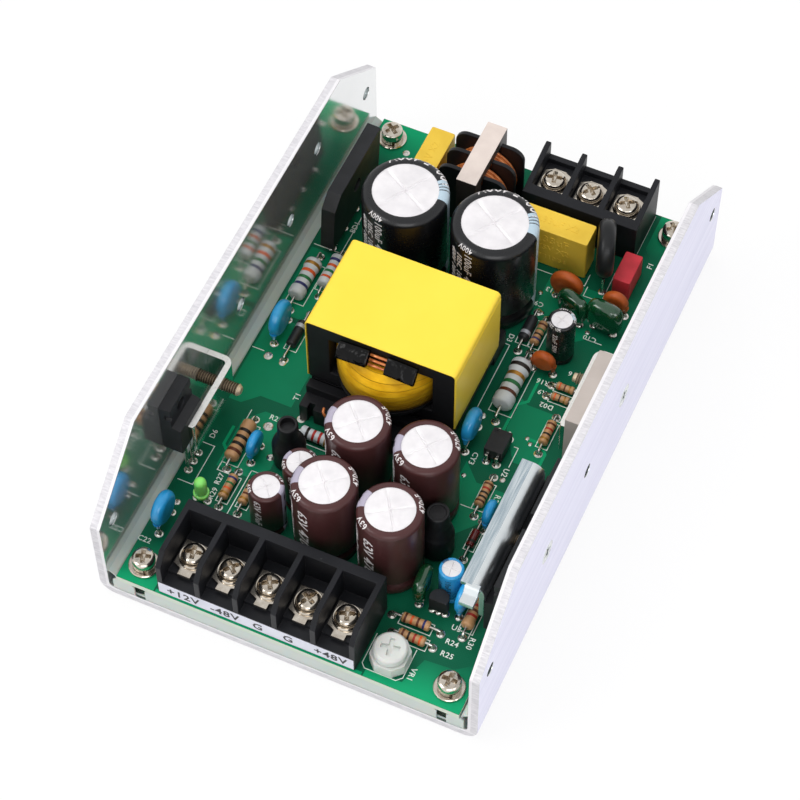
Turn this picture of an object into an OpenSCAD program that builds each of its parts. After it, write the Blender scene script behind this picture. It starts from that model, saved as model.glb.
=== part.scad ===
// Open-frame power supply on a bent aluminium channel
// Origin at the middle of the underside, X across, Y from the output end to the line end, Z up

/* [Chassis] */
// Outside width across the two side walls
chassis_w = 94; // [92:1:104]
// Length of the channel
chassis_l = 146; // [144:1:156]
// Height of the side walls
chassis_h = 44; // [42:1:52]
// Thickness of the aluminium sheet
sheet_t = 2.5; // [2:0.1:3]
// Outside radius of the two long bends
bend_r = 4; // [3.5:0.5:6]
// Length of the slanted cut at each wall end
cut_y = 20; // [10:1:24]
// Depth of the slanted cut at each wall end
cut_z = 17; // [8:1:17]
// Height of the line of holes in the walls
wall_hole_z = 23.5; // [23:0.5:25]
// Diameter of the plain holes in the walls
wall_hole_d = 3.4; // [3:0.1:4]
// Distance from a wall's ends to its mounting holes
mount_inset = 6; // [4:0.5:10]

/* [Board] */
// Gap between the board and each wall
board_gap = 2.1; // [1.5:0.1:2.5]
// How far the board stays behind each end of the channel
board_inset = 0.2; // [0:0.1:1]
// Thickness of the board
board_t = 1.6; // [1:0.1:2.4]
// Height of the pillars under the board
standoff_h = 4.2; // [3.5:0.1:8]
// Diameter of the pillars
standoff_d = 6; // [5:0.5:8]
// Thickness of the insulating sheet under the board
film_t = 0.4; // [0.2:0.1:0.8]
// Room round each pillar in the insulating sheet
film_room = 1.5; // [0.5:0.1:3]
// Distance from the board's sides to its corner screws
corner_x = 4.6; // [4.5:0.1:6]
// Distance from the board's ends to its corner screws
corner_y = 5.2; // [4.8:0.1:6]

/* [Screws] */
// Thread diameter of all the screws
screw_d = 3; // [2.5:0.1:3.2]
// Play of a screw in a hole
screw_play = 0.2; // [0.1:0.05:0.4]
// Diameter of the round screw heads
head_d = 5.4; // [5:0.1:6]
// Height of the round screw heads
head_h = 2.4; // [1.6:0.1:2.6]
// Diameter of the flat washers
washer_d = 6.8; // [6.5:0.1:8.4]
// Thickness of the flat washers
washer_t = 0.8; // [0.4:0.1:1]
// Diameter of the spring washers
spring_d = 5.6; // [5:0.1:6.2]
// Thickness of the spring washers
spring_t = 1.1; // [0.6:0.1:1.2]
// Diameter of the countersunk heads in the walls
sunk_d = 5.6; // [5:0.1:6.4]

/* [Terminals] */
// Distance between neighbouring screws
way_pitch = 9.5; // [9:0.1:10]
// Thickness of the barriers
barrier_t = 1.4; // [1:0.1:2]
// Number of output screws
out_ways = 5; // [3:1:5]
// Front to back depth of the output block
out_depth = 17.3; // [16:0.1:18]
// Height of the output block
out_h = 14.5; // [13:0.5:18]
// Height of the floor that the output screws sit on
out_floor = 5.8; // [4:0.1:7]
// Number of line screws
in_ways = 3; // [2:1:3]
// Front to back depth of the line block
in_depth = 15.2; // [14:0.1:16]
// Height of the line block at its inner wall
in_h = 12.5; // [11:0.5:14]
// Height of the line block's fins at the outer end
in_fin_h = 14.6; // [13:0.1:18]
// Height of the floor that the line screws sit on
in_floor = 8.6; // [6:0.1:9]
// Side of the square clamp plates
plate_w = 7.2; // [6.5:0.1:7.4]
// Thickness of the clamp plates
plate_t = 0.9; // [0.6:0.1:1.2]

/* [Transformer] */
// Width of the core
core_w = 37; // [34:0.5:38]
// Depth of the core
core_d = 25.2; // [24:0.1:26]
// Height of the core
core_h = 22; // [20:0.5:26]
// Height of the core above the board
core_lift = 8.1; // [7:0.1:10]
// Width of the core's outer legs at the front
core_leg = 5.6; // [5:0.1:7]
// Thickness of the core's top and bottom
core_yoke = 4.3; // [3.5:0.1:5]
// Diameter of the round room for the coil between the core's legs
coil_d = 31; // [28:0.5:31.5]
// How far the coil stands out in front of the core
coil_out = 6.2; // [3:0.1:6.4]
// Diameter of the core's round middle leg
post_d = 11; // [9:0.5:13]
// Thickness of the yellow tape
tape_t = 0.3; // [0.2:0.05:0.5]
// How far the pin rails stand out from the core
rail_out = 7; // [5:0.1:7]

/* [Line choke] */
// Length of the core
lc_l = 19.4; // [18:0.1:20]
// Height of the core's top above the board
lc_h = 21.2; // [20:0.1:22.8]
// Width and thickness of the core's bars
lc_bar = 5.2; // [4.5:0.1:5.6]
// Thickness of the core's upright ends
lc_end = 3.6; // [3:0.1:4]
// Width of the bobbin's flanges
lc_flange_w = 18; // [15:0.5:18]
// Thickness of the bobbin's flanges
lc_flange_t = 1.1; // [0.8:0.1:1.4]
// Gap between the windings and the core's upper bar
lc_wind_gap = 0.2; // [0.1:0.1:1.5]

/* [Capacitors] */
// Diameter of the two bulk capacitors
bulk_d = 20.9; // [18:0.1:22]
// Height of the two bulk capacitors
bulk_h = 30; // [25:0.5:32]
// Diameter of the four output capacitors
output_d = 15.1; // [12:0.1:15.8]
// Height of the four output capacitors
output_h = 25; // [20:0.5:30]
// Diameter of the two small filter capacitors
filter_d = 8.4; // [6:0.1:8.8]
// Height of the two small filter capacitors
filter_h = 16; // [11:0.5:20]
// Length of the yellow film capacitors
xcap_l = 18; // [16:0.1:18.5]
// Thickness of the yellow film capacitors
xcap_t = 6.5; // [5:0.1:7]
// Height of the yellow film capacitors
xcap_h = 13.4; // [11:0.1:15]

// Diameter of the small black capacitor
control_d = 6.7; // [5:0.1:7]
// Height of the small black capacitor
control_h = 14.5; // [11:0.5:18]
// Diameter of the small blue capacitor
reference_d = 5.8; // [4:0.1:6]
// Height of the small blue capacitor
reference_h = 11; // [7:0.5:14]
// Length of the red film capacitor
film_l = 9; // [7:0.1:9.5]
// Thickness of the red film capacitor
film_w = 4.5; // [3:0.1:5]
// Height of the red film capacitor
film_h = 7; // [5:0.1:9]

/* [Clamped devices] */
// Width of the single packages
single_w = 10.2; // [9.5:0.1:10.6]
// Height of the single packages
single_h = 16; // [14:0.1:17]
// Height of the single package's underside above the board
single_lift = 11.2; // [9:0.1:12]
// Width of the paired packages
pair_w = 15.8; // [14:0.1:15.8]
// Height of the paired packages
pair_h = 20.5; // [18:0.1:21]
// Height of the paired packages' underside above the board
pair_lift = 4.6; // [4:0.1:6]
// Thickness of the packages
pack_t = 5.1; // [4.5:0.1:5.3]
// Thickness of the clamp straps
strap_t = 1.5; // [1:0.1:1.6]
// Width of the clamp straps
strap_w = 10; // [8:0.5:12]
// Thickness of the clamp bar
bar_t = 1.3; // [1:0.1:1.6]
// Length of the clamp bar
bar_l = 34.3; // [32:0.1:36]
// Wall of the grey insulating cover
cover_t = 0.7; // [0.5:0.1:0.9]
// Length of the grey insulating cover
cover_l = 21; // [19:0.5:22]
// Height of the grey cover's top above the board
cover_top = 21.7; // [20:0.1:24]

/* [Leads] */
// Diameter of the wire leads
lead_d = 0.8; // [0.5:0.05:0.9]
// Play of a lead in its board hole
lead_play = 0.3; // [0.2:0.05:0.5]
// Diameter of the terminal pins
pin_d = 1.2; // [0.8:0.1:1.4]
// How far the leads stand out under the board
lead_out = 1.2; // [0.6:0.1:2]
// Diameter of the solder at the foot of a lead
solder_d = 1.8; // [1.5:0.1:2.2]
// Height of the solder at the foot of a lead
solder_h = 0.5; // [0.3:0.1:0.8]

/* [Trimmer] */
// Diameter of the white rotor
rotor_d = 8; // [6:0.1:8.4]
// Thickness of the white rotor
rotor_t = 2.4; // [1.5:0.1:3]
// Width of the trimmer's base
trimmer_w = 8.6; // [7:0.1:9]
// Height of the trimmer's base
trimmer_h = 3.4; // [2.5:0.1:4]
// Diameter of the rotor's shaft
shaft_d = 2.4; // [1.5:0.1:3]
// Play of the rotor on its base
rotor_play = 0.1; // [0.05:0.05:0.3]

/* [Hidden] */
$fn = 48;
eps = 0.01;
bend_steps = 10;

// Levels and edges that the pieces hang on
inner_x = chassis_w / 2 - sheet_t;
board_w = chassis_w - 2 * (sheet_t + board_gap);
board_l = chassis_l - 2 * board_inset;
board_z = sheet_t + standoff_h;
top_z = board_z + board_t;
left_x = -board_w / 2;
right_x = board_w / 2;
front_y = -board_l / 2;
rear_y = board_l / 2;

// The layout is drawn in steps of one millimetre on a board of the stated size, and follows the board
unit = 1;
layout_w = 84.8;
layout_l = 145.6;
gx = board_w / layout_w;
gy = board_l / layout_l;
// Parts shrink with a smaller board, so that they stay apart
fit = min(1, gx / unit, gy / unit);
step = unit * fit;

// Corner screws of the board
corners = [for (sx = [-1, 1], sy = [-1, 1]) [sx * (board_w / 2 - corner_x), sy * (board_l / 2 - corner_y)]];
stack_z = top_z + washer_t + spring_t;
thread_l = board_t + washer_t + spring_t + standoff_h - 0.8;

// Holes in the walls, measured from the middle of the channel
left_spare = [24 * gy, -3 * gy];
right_spare = [-12 * gy];
upper_hole = [39.7 * gy, chassis_h - 11];
strap_screw_left = -24.8 * gy;
strap_screw_right = 10.2 * gy;
bar_screw = -35.2 * gy;

// Terminal blocks
way = way_pitch * fit;
out_x = -7.4 * gx;
out_w = out_ways * way + barrier_t;
out_d = out_depth * fit;
out_front = front_y + 0.5 * unit;
out_back_t = 2.6 * step;
out_label_h = out_floor - 1;
out_screw_y = out_front + 8 * step;
in_x = 16.7 * gx;
in_w = in_ways * way + barrier_t;
in_d = in_depth * fit;
in_front = rear_y - 0.6 * unit - in_d;
in_wall_t = 3 * step;
in_lip_t = 1.6 * step;
in_lip_h = in_floor + 1.6;
in_screw_y = in_front + 7.6 * step;
plate = plate_w * fit;
tab_w = 3.2 * step;
tab_l = 1.8 * step;
well_d = screw_d + 2 * screw_play;
thread_below = in_floor - 4;

// Transformer
core_x = -5.05 * gx;
core_y = 2.3 * gy;
core_z = top_z + core_lift;
window_z = core_z + core_yoke;
window_h = core_h - 2 * core_yoke;
ferrite_w = core_w * fit;
ferrite_d = core_d * fit;
leg_w = core_leg * fit;
coil = coil_d * fit;
post = post_d * fit;
coil_play = 0.4 * step;
coil_x = coil / 2 - 2 * coil_play;
coil_y = ferrite_d / 2 + coil_out * fit;
flange_t = 1;
tube_t = 1.1 * step;
deck_z = core_z - tape_t;
rail = rail_out * fit;
rail_h = core_lift - 2.4;
ledge_d = 2.4 * step;
rail_w = ferrite_w - 1.2 * step;
rail_pins = 5;
rail_pitch = 6 * step;

// Line choke
lc_x = -9.1 * gx;
lc_y = 57.1 * gy;
bar = lc_bar * fit;
lc_long = lc_l * fit;
lc_leg = lc_end * fit;
lc_top = top_z + lc_h;
lc_low = top_z + 6;
lc_axis = lc_low + bar / 2;
lc_wide = lc_flange_w * fit;
lc_thin = lc_flange_t * fit;
lc_wind = 2 * (lc_top - bar - lc_axis - lc_wind_gap);
lc_flange_h = lc_h - 1.4;
lc_inside = lc_long - 2 * lc_leg;
lc_pin_x = lc_wide / 2 - 1.6 * step;
lc_pin_y = lc_inside / 2 - 1.4 * step;

// Round capacitors: place across, place along, diameter, height, lead pitch
function round_at(x, y, d, h, pitch) = [x * gx, y * gy, d * fit, h, pitch * step];
bulk_left = round_at(-18.5, 33.3, bulk_d, bulk_h, 10);
bulk_right = round_at(4.4, 33.3, bulk_d, bulk_h, 10);
output_1 = round_at(-3, -26.8, output_d, output_h, 7.5);
output_2 = round_at(13.8, -26.5, output_d, output_h, 7.5);
output_3 = round_at(-3, -44.3, output_d, output_h, 7.5);
output_4 = round_at(13.2, -44.7, output_d, output_h, 7.5);
filter_1 = round_at(-17, -45.8, filter_d, filter_h, 3.5);
filter_2 = round_at(-12.7, -37, filter_d, filter_h, 3.5);
control = round_at(25.7, 24.5, control_d, control_h, 2.5);
reference = round_at(28.4, -45.4, reference_d, reference_h, 2.5);
cans = [bulk_left, bulk_right, output_1, output_2, output_3, output_4, filter_1, filter_2, control, reference];

// Boxed capacitors: place across, place along, length, thickness, height, turn, lead pitch
function boxed_at(x, y, l, t, h, turn, pitch) = [x * gx, y * gy, l * fit, t * fit, h, turn, pitch * step];
xcap_front = boxed_at(13.7, 50.6, xcap_l, xcap_t, xcap_h, 0, 15);
xcap_side = boxed_at(-23.1, 57.4, xcap_l, xcap_t - 0.2, xcap_h - 0.9, 90, 15);
film_box = boxed_at(32.6, 50, film_l, film_w, film_h, 90, 5);
boxes = [xcap_front, xcap_side, film_box];

// Disc parts: place across, place along, turn of the face, diameter, thickness, lead pitch, lift
function discs_at(list) = [for (s = list)
  [s[0] * gx, s[1] * gy, s[2], s[3] * step, s[4] * step, s[5] * step, s[6] * unit]];
blue = discs_at([
  [-38.6, -55.8, 0, 8.6, 3, 6.2, 2.6],
  [-27.9, -30.7, 0, 6.6, 2.2, 5, 1.6],
  [-37.6, 3, 0, 9.2, 2.8, 7.5, 1.4],
  [16.2, -6.2, 0, 8.4, 2.8, 7.5, 2.4],
  [29, -25.2, 0, 6.2, 2.2, 5, 1.6],
  [32.6, -48, 0, 7.6, 2.2, 5, 1.6]
]);
orange = discs_at([
  [20.8, 40.2, 90, 8.4, 2.6, 5, 1.6],
  [33.2, 41, 90, 6.4, 2.4, 5, 1.6],
  [24, 18.4, 90, 6, 2.4, 5, 1.4]
]);
green = discs_at([
  [24.4, 35.2, 68, 8.6, 3.4, 5, 1.2],
  [32.6, 35.2, 84, 9.4, 4, 5, 1.2],
  [22.9, -48.6, 4, 8.2, 3.2, 5, 1.2]
]);
thermal = discs_at([[26.9, 49.1, 19, 14.4, 4.2, 7.5, 5.6]]);

// Axial parts: place across, place along, turn, body length, body diameter, lead pitch
function axials_at(list) = [for (a = list) [a[0] * gx, a[1] * gy, a[2], a[3] * step, a[4] * step, a[5] * step]];
tan = axials_at([
  [-32.2, -29.6, 90, 11, 3.6, 15],
  [-29.4, -41.8, 90, 6.6, 2.4, 10.4],
  [-24.6, -41.4, 90, 6.6, 2.4, 11],
  [25.1, -19.4, 90, 6.8, 2.4, 11.4],
  [24.6, -56.1, 0, 6.8, 2.4, 12],
  [25.4, -60.1, 0, 6.4, 2.4, 10],
  [35.4, -48.8, 90, 8.4, 3, 12.4],
  [32, 2, 90, 6.6, 2.4, 11],
  [31, 15.4, 0, 4.4, 1.9, 7],
  [31, 12.2, 0, 4.4, 1.9, 7],
  [19.2, 27.2, 90, 6.6, 2.4, 10.6]
]);
grey = axials_at([
  [-38.4, 18.2, 90, 11.5, 4.2, 17.4],
  [-33.8, 23, 90, 9.5, 3.4, 14],
  [19.4, 10.4, 90, 13.6, 5.2, 19.6],
  [-16.6, -21.4, 0, 8, 3.2, 12]
]);
diode = axials_at([
  [16.3, 27.4, 90, 7, 2.7, 12.4],
  [27.5, -31.1, 90, 4.6, 2, 11],
  [-33.4, 3.2, 90, 7.4, 2.7, 14.6]
]);

// Drum chokes in black sleeve: place across, place along, body diameter, neck diameter, body height, full height
function drum_at(x, y, d, neck, body, full) = [x * gx, y * gy, d * step, neck * step, body * unit, full * unit];
drum_left = drum_at(-20.1, -28.4, 8, 5, 8, 15);
drum_right = drum_at(20.9, -36.1, 7.7, 5.4, 8.4, 16);
drum_pitch = 4 * step;

// Upright devices
bridge = [-37 * gx, 40.6 * gy];
bridge_w = 26 * step;
bridge_h = 18.5 * unit;
bridge_t = 3.6 * step;
bridge_lift = 3.8 * unit;
bridge_cut = 3.4 * step;
bridge_pitch = 6.6 * step;
bridge_tilt = 3;
single = single_w * fit;
wide = pair_w * fit;
deep = pack_t * fit;
single_left_y = -38.3 * gy;
pair_gap = 2.1 * unit;
pair_y = [bar_screw - pair_gap - wide / 2, bar_screw + pair_gap + wide / 2];
pack_lead_in = 4.2 * step;
pack_lead_pitch = 2.54 * step;
pair_lead_pitch = 5.08 * step;
strap_reach = deep + strap_t;
strap_play = 0.15;
strap_leg_left = 5.8 * step;
strap_leg_right = 7.8 * step;
strap_bend = 2.4 * step;
strap_run = 15.2 * step;
strap_drop = 0.72 * strap_w;
cover_play = 0.3;
cover_long = cover_l * fit;
cover_x = cover_t + cover_play + deep;
cover_y = strap_screw_right + strap_leg_right - strap_bend - 0.1 - cover_long / 2;
cover_h = 16;
single_right_y = cover_y - cover_long / 2 + cover_t + cover_play + single / 2;
bar_long = bar_l * fit;
bar_top = top_z + 21.7;
bar_flange = 5.7 * step;
bar_leg = 12;
bar_lip = 4 * step;
bar_shift = -0.7 * unit;
bar_step = 1.6;
screw_past = 4.4;

// Small devices
opto = [23 * gx, -6.4 * gy];
opto_w = 4.6 * step;
opto_l = 6.4 * step;
opto_h = 3.4 * unit;
opto_lift = 0.8 * unit;
opto_span = 7.6 * step;
opto_pitch = 2.54 * step;
led = [-33.8 * gx, -46.6 * gy];
led_d = 3 * unit;
led_rim = 3.8 * unit;
led_h = 5.4 * unit;
led_lift = 1.8 * unit;
led_pitch = 2.54 * step;
reference_chip = [27.9 * gx, -51 * gy];
chip_d = 4.6 * step;
chip_h = 4.6 * unit;
chip_lift = 1.8 * unit;
chip_flat = 1.1 * step;
chip_pitch = 1.5 * step;
trimmer = [23 * gx, -66.4 * gy];
trimmer_box = trimmer_w * fit;
trimmer_cut = 2.2 * step;
rotor = rotor_d * fit;
shaft = shaft_d * fit;

// Points along an arc
function arc(c, r, a, b, n) = [for (i = [0 : n]) let (t = a + (b - a) * i / n) c + r * [cos(t), sin(t)]];
// An oval of two radii
function oval(rx, ry, n = 48) = [for (i = [0 : n - 1]) [rx * cos(360 * i / n), ry * sin(360 * i / n)]];
// Two points, half a pitch each way from a place along a turned line
function twin(p, turn, pitch) = [for (s = [-1, 1]) [p[0], p[1]] + s * pitch / 2 * [cos(turn), sin(turn)]];
// A row of points along Y or X
function row_y(p, n, pitch) = [for (i = [0 : n - 1]) [p[0], p[1] + (i - (n - 1) / 2) * pitch]];
function row_x(p, n, pitch) = [for (i = [0 : n - 1]) [p[0] + (i - (n - 1) / 2) * pitch, p[1]]];

out_spots = row_x([out_x, out_screw_y], out_ways, way);
in_spots = row_x([in_x, in_screw_y], in_ways, way);
out_pins = row_x([out_x, out_front + out_d - 3 * step], out_ways, way);
in_pins = row_x([in_x, in_front + 2.6 * step], in_ways, way);
rail_y = ferrite_d / 2 + rail - 2 * step;
rail_spots = concat(row_x([core_x, core_y - rail_y], rail_pins, rail_pitch),
  row_x([core_x, core_y + rail_y], rail_pins, rail_pitch));
lc_spots = [for (sx = [-1, 1], sy = [-1, 1]) [lc_x + sx * lc_pin_x, lc_y + sy * lc_pin_y]];
bridge_spots = row_y(bridge, 4, bridge_pitch);
left_spots = row_y([-inner_x + pack_lead_in, single_left_y], 3, pack_lead_pitch);
right_spots = row_y([inner_x - pack_lead_in, single_right_y], 3, pack_lead_pitch);
pair_spots = [for (y = pair_y) each row_y([inner_x - pack_lead_in, y], 3, pair_lead_pitch)];
opto_spots = [for (sy = [-1, 1]) each row_x([opto[0], opto[1] + sy * opto_span / 2], 2, opto_pitch)];
led_spots = twin(led, 0, led_pitch);
chip_spots = row_x(reference_chip, 3, chip_pitch);
trimmer_spots = [for (q = [[-2.5, -1.2], [2.5, -1.2], [0, 2.6]]) trimmer + step * q];
disc_all = concat(blue, orange, green, thermal);
axial_all = concat(tan, grey, diode);

fine_holes = concat(
  [for (c = cans) each twin(c, 0, c[4])],
  [for (b = boxes) each twin(b, b[5], b[6])],
  [for (s = disc_all) each twin(s, s[2] + 90, s[5])],
  [for (a = axial_all) each twin(a, a[2], a[5])],
  twin(drum_left, 90, drum_pitch), twin(drum_right, 90, drum_pitch),
  bridge_spots, left_spots, right_spots, pair_spots, opto_spots, led_spots, chip_spots, trimmer_spots,
  rail_spots, lc_spots);
heavy_holes = concat(out_pins, in_pins);

// Places a flat drawing on the XZ plane and gives it a depth along Y
module along_y(depth) {
  rotate([90, 0, 0]) linear_extrude(depth, center = true) children();
}

// Places a flat drawing on the YZ plane and gives it a depth along X
module along_x(depth) {
  rotate([90, 0, 90]) linear_extrude(depth, center = true) children();
}

// A round bar along X that starts at a point
module rod_x(p, l, d) {
  translate(p) rotate([0, 90, 0]) cylinder(h = l, d = d);
}

// A lead that passes through the board, with its solder on top
module lead(p, top, d = lead_d) {
  translate([p[0], p[1], top_z]) rotate_extrude() polygon([
    [0, -board_t - lead_out], [d / 2, -board_t - lead_out], [d / 2, 0], [solder_d / 2, 0],
    [d / 2, solder_h], [d / 2, top], [0, top]]);
}

// A block with its upright edges rounded
module rounded_block(w, d, h, r) {
  linear_extrude(h) polygon(concat(
    arc([w / 2 - r, d / 2 - r], r, 0, 90, 6), arc([r - w / 2, d / 2 - r], r, 90, 180, 6),
    arc([r - w / 2, r - d / 2], r, 180, 270, 6), arc([w / 2 - r, r - d / 2], r, 270, 360, 6)));
}

// A round-headed screw with a cross recess, standing on the plane of its head
module round_screw(l, d = screw_d) {
  crown = head_h * 0.35;
  difference() {
    rotate_extrude() polygon(concat(
      [[0, -l], [d / 2 - 0.3, -l], [d / 2, -l + 0.4], [d / 2, 0], [head_d / 2, 0], [head_d / 2, head_h - crown]],
      [for (i = [1 : 6]) [head_d / 2 * cos(i * 15), head_h - crown + crown * sin(i * 15)]]));
    for (a = [45, 135]) rotate([0, 0, a]) translate([-head_d * 0.32, -0.4, head_h * 0.4])
      cube([head_d * 0.64, 0.8, head_h]);
  }
}

// A round capacitor in its sleeve, with a bare scored top and a rolled groove near the foot
module can(c) {
  r = c[2] / 2;
  h = c[3];
  edge = 0.09 * c[2];
  rim = 0.72 * r;
  sink = 0.3;
  groove = 0.035 * c[2];
  difference() {
    translate([c[0], c[1], top_z]) rotate_extrude() polygon(concat(
      [[0, 0], [r - edge / 2, 0], [r, edge / 2], [r, 2 * edge], [r - groove, 2.5 * edge], [r, 3 * edge]],
      arc([r - edge, h - edge], edge, 0, 90, 6),
      [[rim, h], [rim, h - sink], [0, h - sink]]));
    for (a = [0, 90]) translate([c[0], c[1], top_z + h]) rotate([0, 0, 20 + a])
      cube([1.7 * rim, 0.035 * c[2], 2 * sink + 0.4], center = true);
  }
  for (p = twin(c, 0, c[4])) lead(p, eps);
}

// A boxed capacitor on its leads
module boxed(b) {
  translate([b[0], b[1], top_z]) rotate([0, 0, b[5]]) rounded_block(b[2], b[3], b[4], 0.5);
  for (p = twin(b, b[5], b[6])) lead(p, eps);
}

// A dipped disc on two leads
module disc(s) {
  r = s[3] / 2;
  t = s[4] / 2;
  mid = s[6] + r;
  translate([s[0], s[1], top_z + mid]) rotate([0, 0, s[2]]) rotate([0, 90, 0]) rotate_extrude() polygon(concat(
    [[0, -t]], arc([r - t, 0], t, -90, 90, 8), [[0, t]]));
  for (p = twin(s, s[2] + 90, s[5])) lead(p, mid - sqrt(max(r * r - s[5] * s[5] / 4, 0)) + 0.5 * t);
}

// A dipped film capacitor, a disc with squared sides
module dipped(s) {
  r = 0.28 * s[3];
  foot = s[6];
  translate([s[0], s[1], top_z + foot]) rotate([0, 0, s[2]]) along_x(s[4]) polygon(concat(
    arc([s[3] / 2 - r, r], r, -90, 0, 6), arc([s[3] / 2 - r, s[3] - r], r, 0, 90, 6),
    arc([r - s[3] / 2, s[3] - r], r, 90, 180, 6), arc([r - s[3] / 2, r], r, 180, 270, 6)));
  for (p = twin(s, s[2] + 90, s[5])) lead(p, foot + 0.6);
}

// An axial part lying on the board, thicker at its ends when it is a resistor
module axial(a, swell = 0.12) {
  r = a[4] / 2;
  h = a[3] / 2;
  neck = r * (1 - swell);
  lie = r + 0.1;
  cap = 0.22 * a[3];
  translate([a[0], a[1], top_z + lie]) rotate([0, 0, a[2]]) rotate([0, 90, 0]) {
    rotate_extrude() polygon([[0, -h], [0.6 * r, -h], [r, -h + 0.3 * r], [r, -h + cap - 0.2 * r], [neck, -h + cap],
      [neck, h - cap], [r, h - cap + 0.2 * r], [r, h - 0.3 * r], [0.6 * r, h], [0, h]]);
    translate([0, 0, -a[5] / 2]) cylinder(h = a[5], d = lead_d * 0.96);
  }
  for (p = twin(a, a[2], a[5])) lead(p, lie + lead_d / 2);
}

// A drum choke in a shrunk sleeve, wide below and drawn in to an open neck
module drum(c) {
  r = c[2] / 2;
  n = c[3] / 2;
  translate([c[0], c[1], top_z]) rotate_extrude() polygon([[0, 0], [r - 0.5, 0], [r, 0.6], [r, c[4] - 1],
    [r - 0.5, c[4]], [n + 0.1, c[4] + 2.2], [n, c[4] + 3], [n, c[5] - 0.3], [n - 0.3, c[5]],
    [n - 0.8, c[5]], [n - 0.8, c[5] - 0.8], [0, c[5] - 0.8]]);
  for (p = twin(c, 90, drum_pitch)) lead(p, eps);
}

// A moulded package on its back against a wall, seen with the wall at X = 0 and the device towards +X
module package(w, h, lift) {
  tab_t = 0.58 * deep;
  body_h = 0.56 * h;
  difference() {
    translate([0, 0, top_z + lift]) along_y(w) polygon([[0, 0], [deep, 0], [deep, body_h],
      [tab_t, body_h + 0.7], [tab_t, h], [0, h]]);
    translate([-1, 0, top_z + lift + h - 3.3]) rotate([0, 90, 0]) cylinder(h = deep + 2, d = 3.3);
    for (s = [-1, 1]) translate([tab_t / 2, s * w / 2, top_z + lift + h - 3.3]) rotate([0, 90, 0])
      cylinder(h = tab_t, d = 1.6);
  }
}

// The pieces
module chassis() {
  w = chassis_w / 2;
  color("gainsboro") difference() {
    along_y(chassis_l) polygon(concat(
      [[-w, chassis_h]], arc([bend_r - w, bend_r], bend_r, 180, 270, bend_steps),
      arc([w - bend_r, bend_r], bend_r, 270, 360, bend_steps), [[w, chassis_h], [inner_x, chassis_h]],
      arc([w - bend_r, bend_r], bend_r - sheet_t, 360, 270, bend_steps),
      arc([bend_r - w, bend_r], bend_r - sheet_t, 270, 180, bend_steps), [[-inner_x, chassis_h]]));
    for (s = [-1, 1]) along_x(chassis_w + 2) polygon([
      [s * (chassis_l / 2 - cut_y), chassis_h], [s * (chassis_l / 2 - cut_y), chassis_h + 1],
      [s * (chassis_l / 2 + 1), chassis_h + 1], [s * (chassis_l / 2 + 1), chassis_h - cut_z],
      [s * chassis_l / 2, chassis_h - cut_z]]);
    for (s = [-1, 1], e = [-1, 1]) wall_hole(s, e * (chassis_l / 2 - mount_inset), wall_hole_z);
    for (y = left_spare) wall_hole(-1, y, wall_hole_z);
    for (y = right_spare) wall_hole(1, y, wall_hole_z);
    wall_hole(-1, upper_hole[0], upper_hole[1]);
    sunk_hole(-1, strap_screw_left);
    sunk_hole(1, strap_screw_right);
    sunk_hole(1, bar_screw);
  }
}

module wall_hole(side, y, z) {
  translate([side * (inner_x + sheet_t / 2), y, z]) rotate([0, 90, 0])
    cylinder(h = sheet_t + 2, d = wall_hole_d, center = true);
}

// Cone depth of a countersunk head
sunk_h = (sunk_d - screw_d) / 2;

module sunk_hole(side, y) {
  translate([side * chassis_w / 2, y, wall_hole_z]) rotate([0, -side * 90, 0]) {
    translate([0, 0, -1]) cylinder(h = sheet_t + 2, d = screw_d + screw_play);
    translate([0, 0, -eps]) cylinder(h = sunk_h + eps, d1 = sunk_d + screw_play, d2 = screw_d + screw_play);
  }
}

module insulation_sheet() {
  color("aliceblue") difference() {
    translate([-board_w / 2, -board_l / 2 + 0.6, sheet_t]) cube([board_w, board_l - 1.2, film_t]);
    for (p = corners) translate([p[0], p[1], 0]) {
      cylinder(h = board_z, d = standoff_d + 2 * film_room);
      translate([p[0] > 0 ? 0 : -board_w, -standoff_d / 2 - film_room, 0])
        cube([board_w, standoff_d + 2 * film_room, board_z]);
    }
  }
}

module standoffs() {
  color("silver") for (p = corners) translate([p[0], p[1], sheet_t]) difference() {
    cylinder(h = standoff_h, d = standoff_d, $fn = 6);
    translate([0, 0, -1]) cylinder(h = standoff_h + 2, d = screw_d + screw_play);
  }
}

module circuit_board() {
  color("seagreen") difference() {
    translate([left_x, front_y, board_z]) cube([board_w, board_l, board_t]);
    for (p = corners) translate([p[0], p[1], board_z - 1]) cylinder(h = board_t + 2, d = screw_d + 2 * screw_play);
    for (p = fine_holes) translate([p[0], p[1], board_z - 1]) cylinder(h = board_t + 2, d = lead_d + lead_play);
    for (p = heavy_holes) translate([p[0], p[1], board_z - 1]) cylinder(h = board_t + 2, d = pin_d + lead_play);
  }
}

module board_screws() {
  color("silver") for (i = [0 : len(corners) - 1]) translate([corners[i][0], corners[i][1], stack_z])
    rotate([0, 0, 20 + 35 * i]) round_screw(thread_l);
}

module lock_washers() {
  color("lightgray") for (p = corners) translate([p[0], p[1], top_z + washer_t]) difference() {
    cylinder(h = spring_t, d = spring_d);
    translate([0, 0, -1]) cylinder(h = spring_t + 2, d = screw_d + 2 * screw_play);
    rotate([0, 0, -60]) translate([0, -0.2, -1]) cube([spring_d, 0.4, spring_t + 2]);
  }
}

module flat_washers() {
  color("silver") for (p = corners) translate([p[0], p[1], top_z]) difference() {
    cylinder(h = washer_t, d = washer_d);
    translate([0, 0, -1]) cylinder(h = washer_t + 2, d = screw_d + 2 * screw_play);
  }
}

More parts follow.
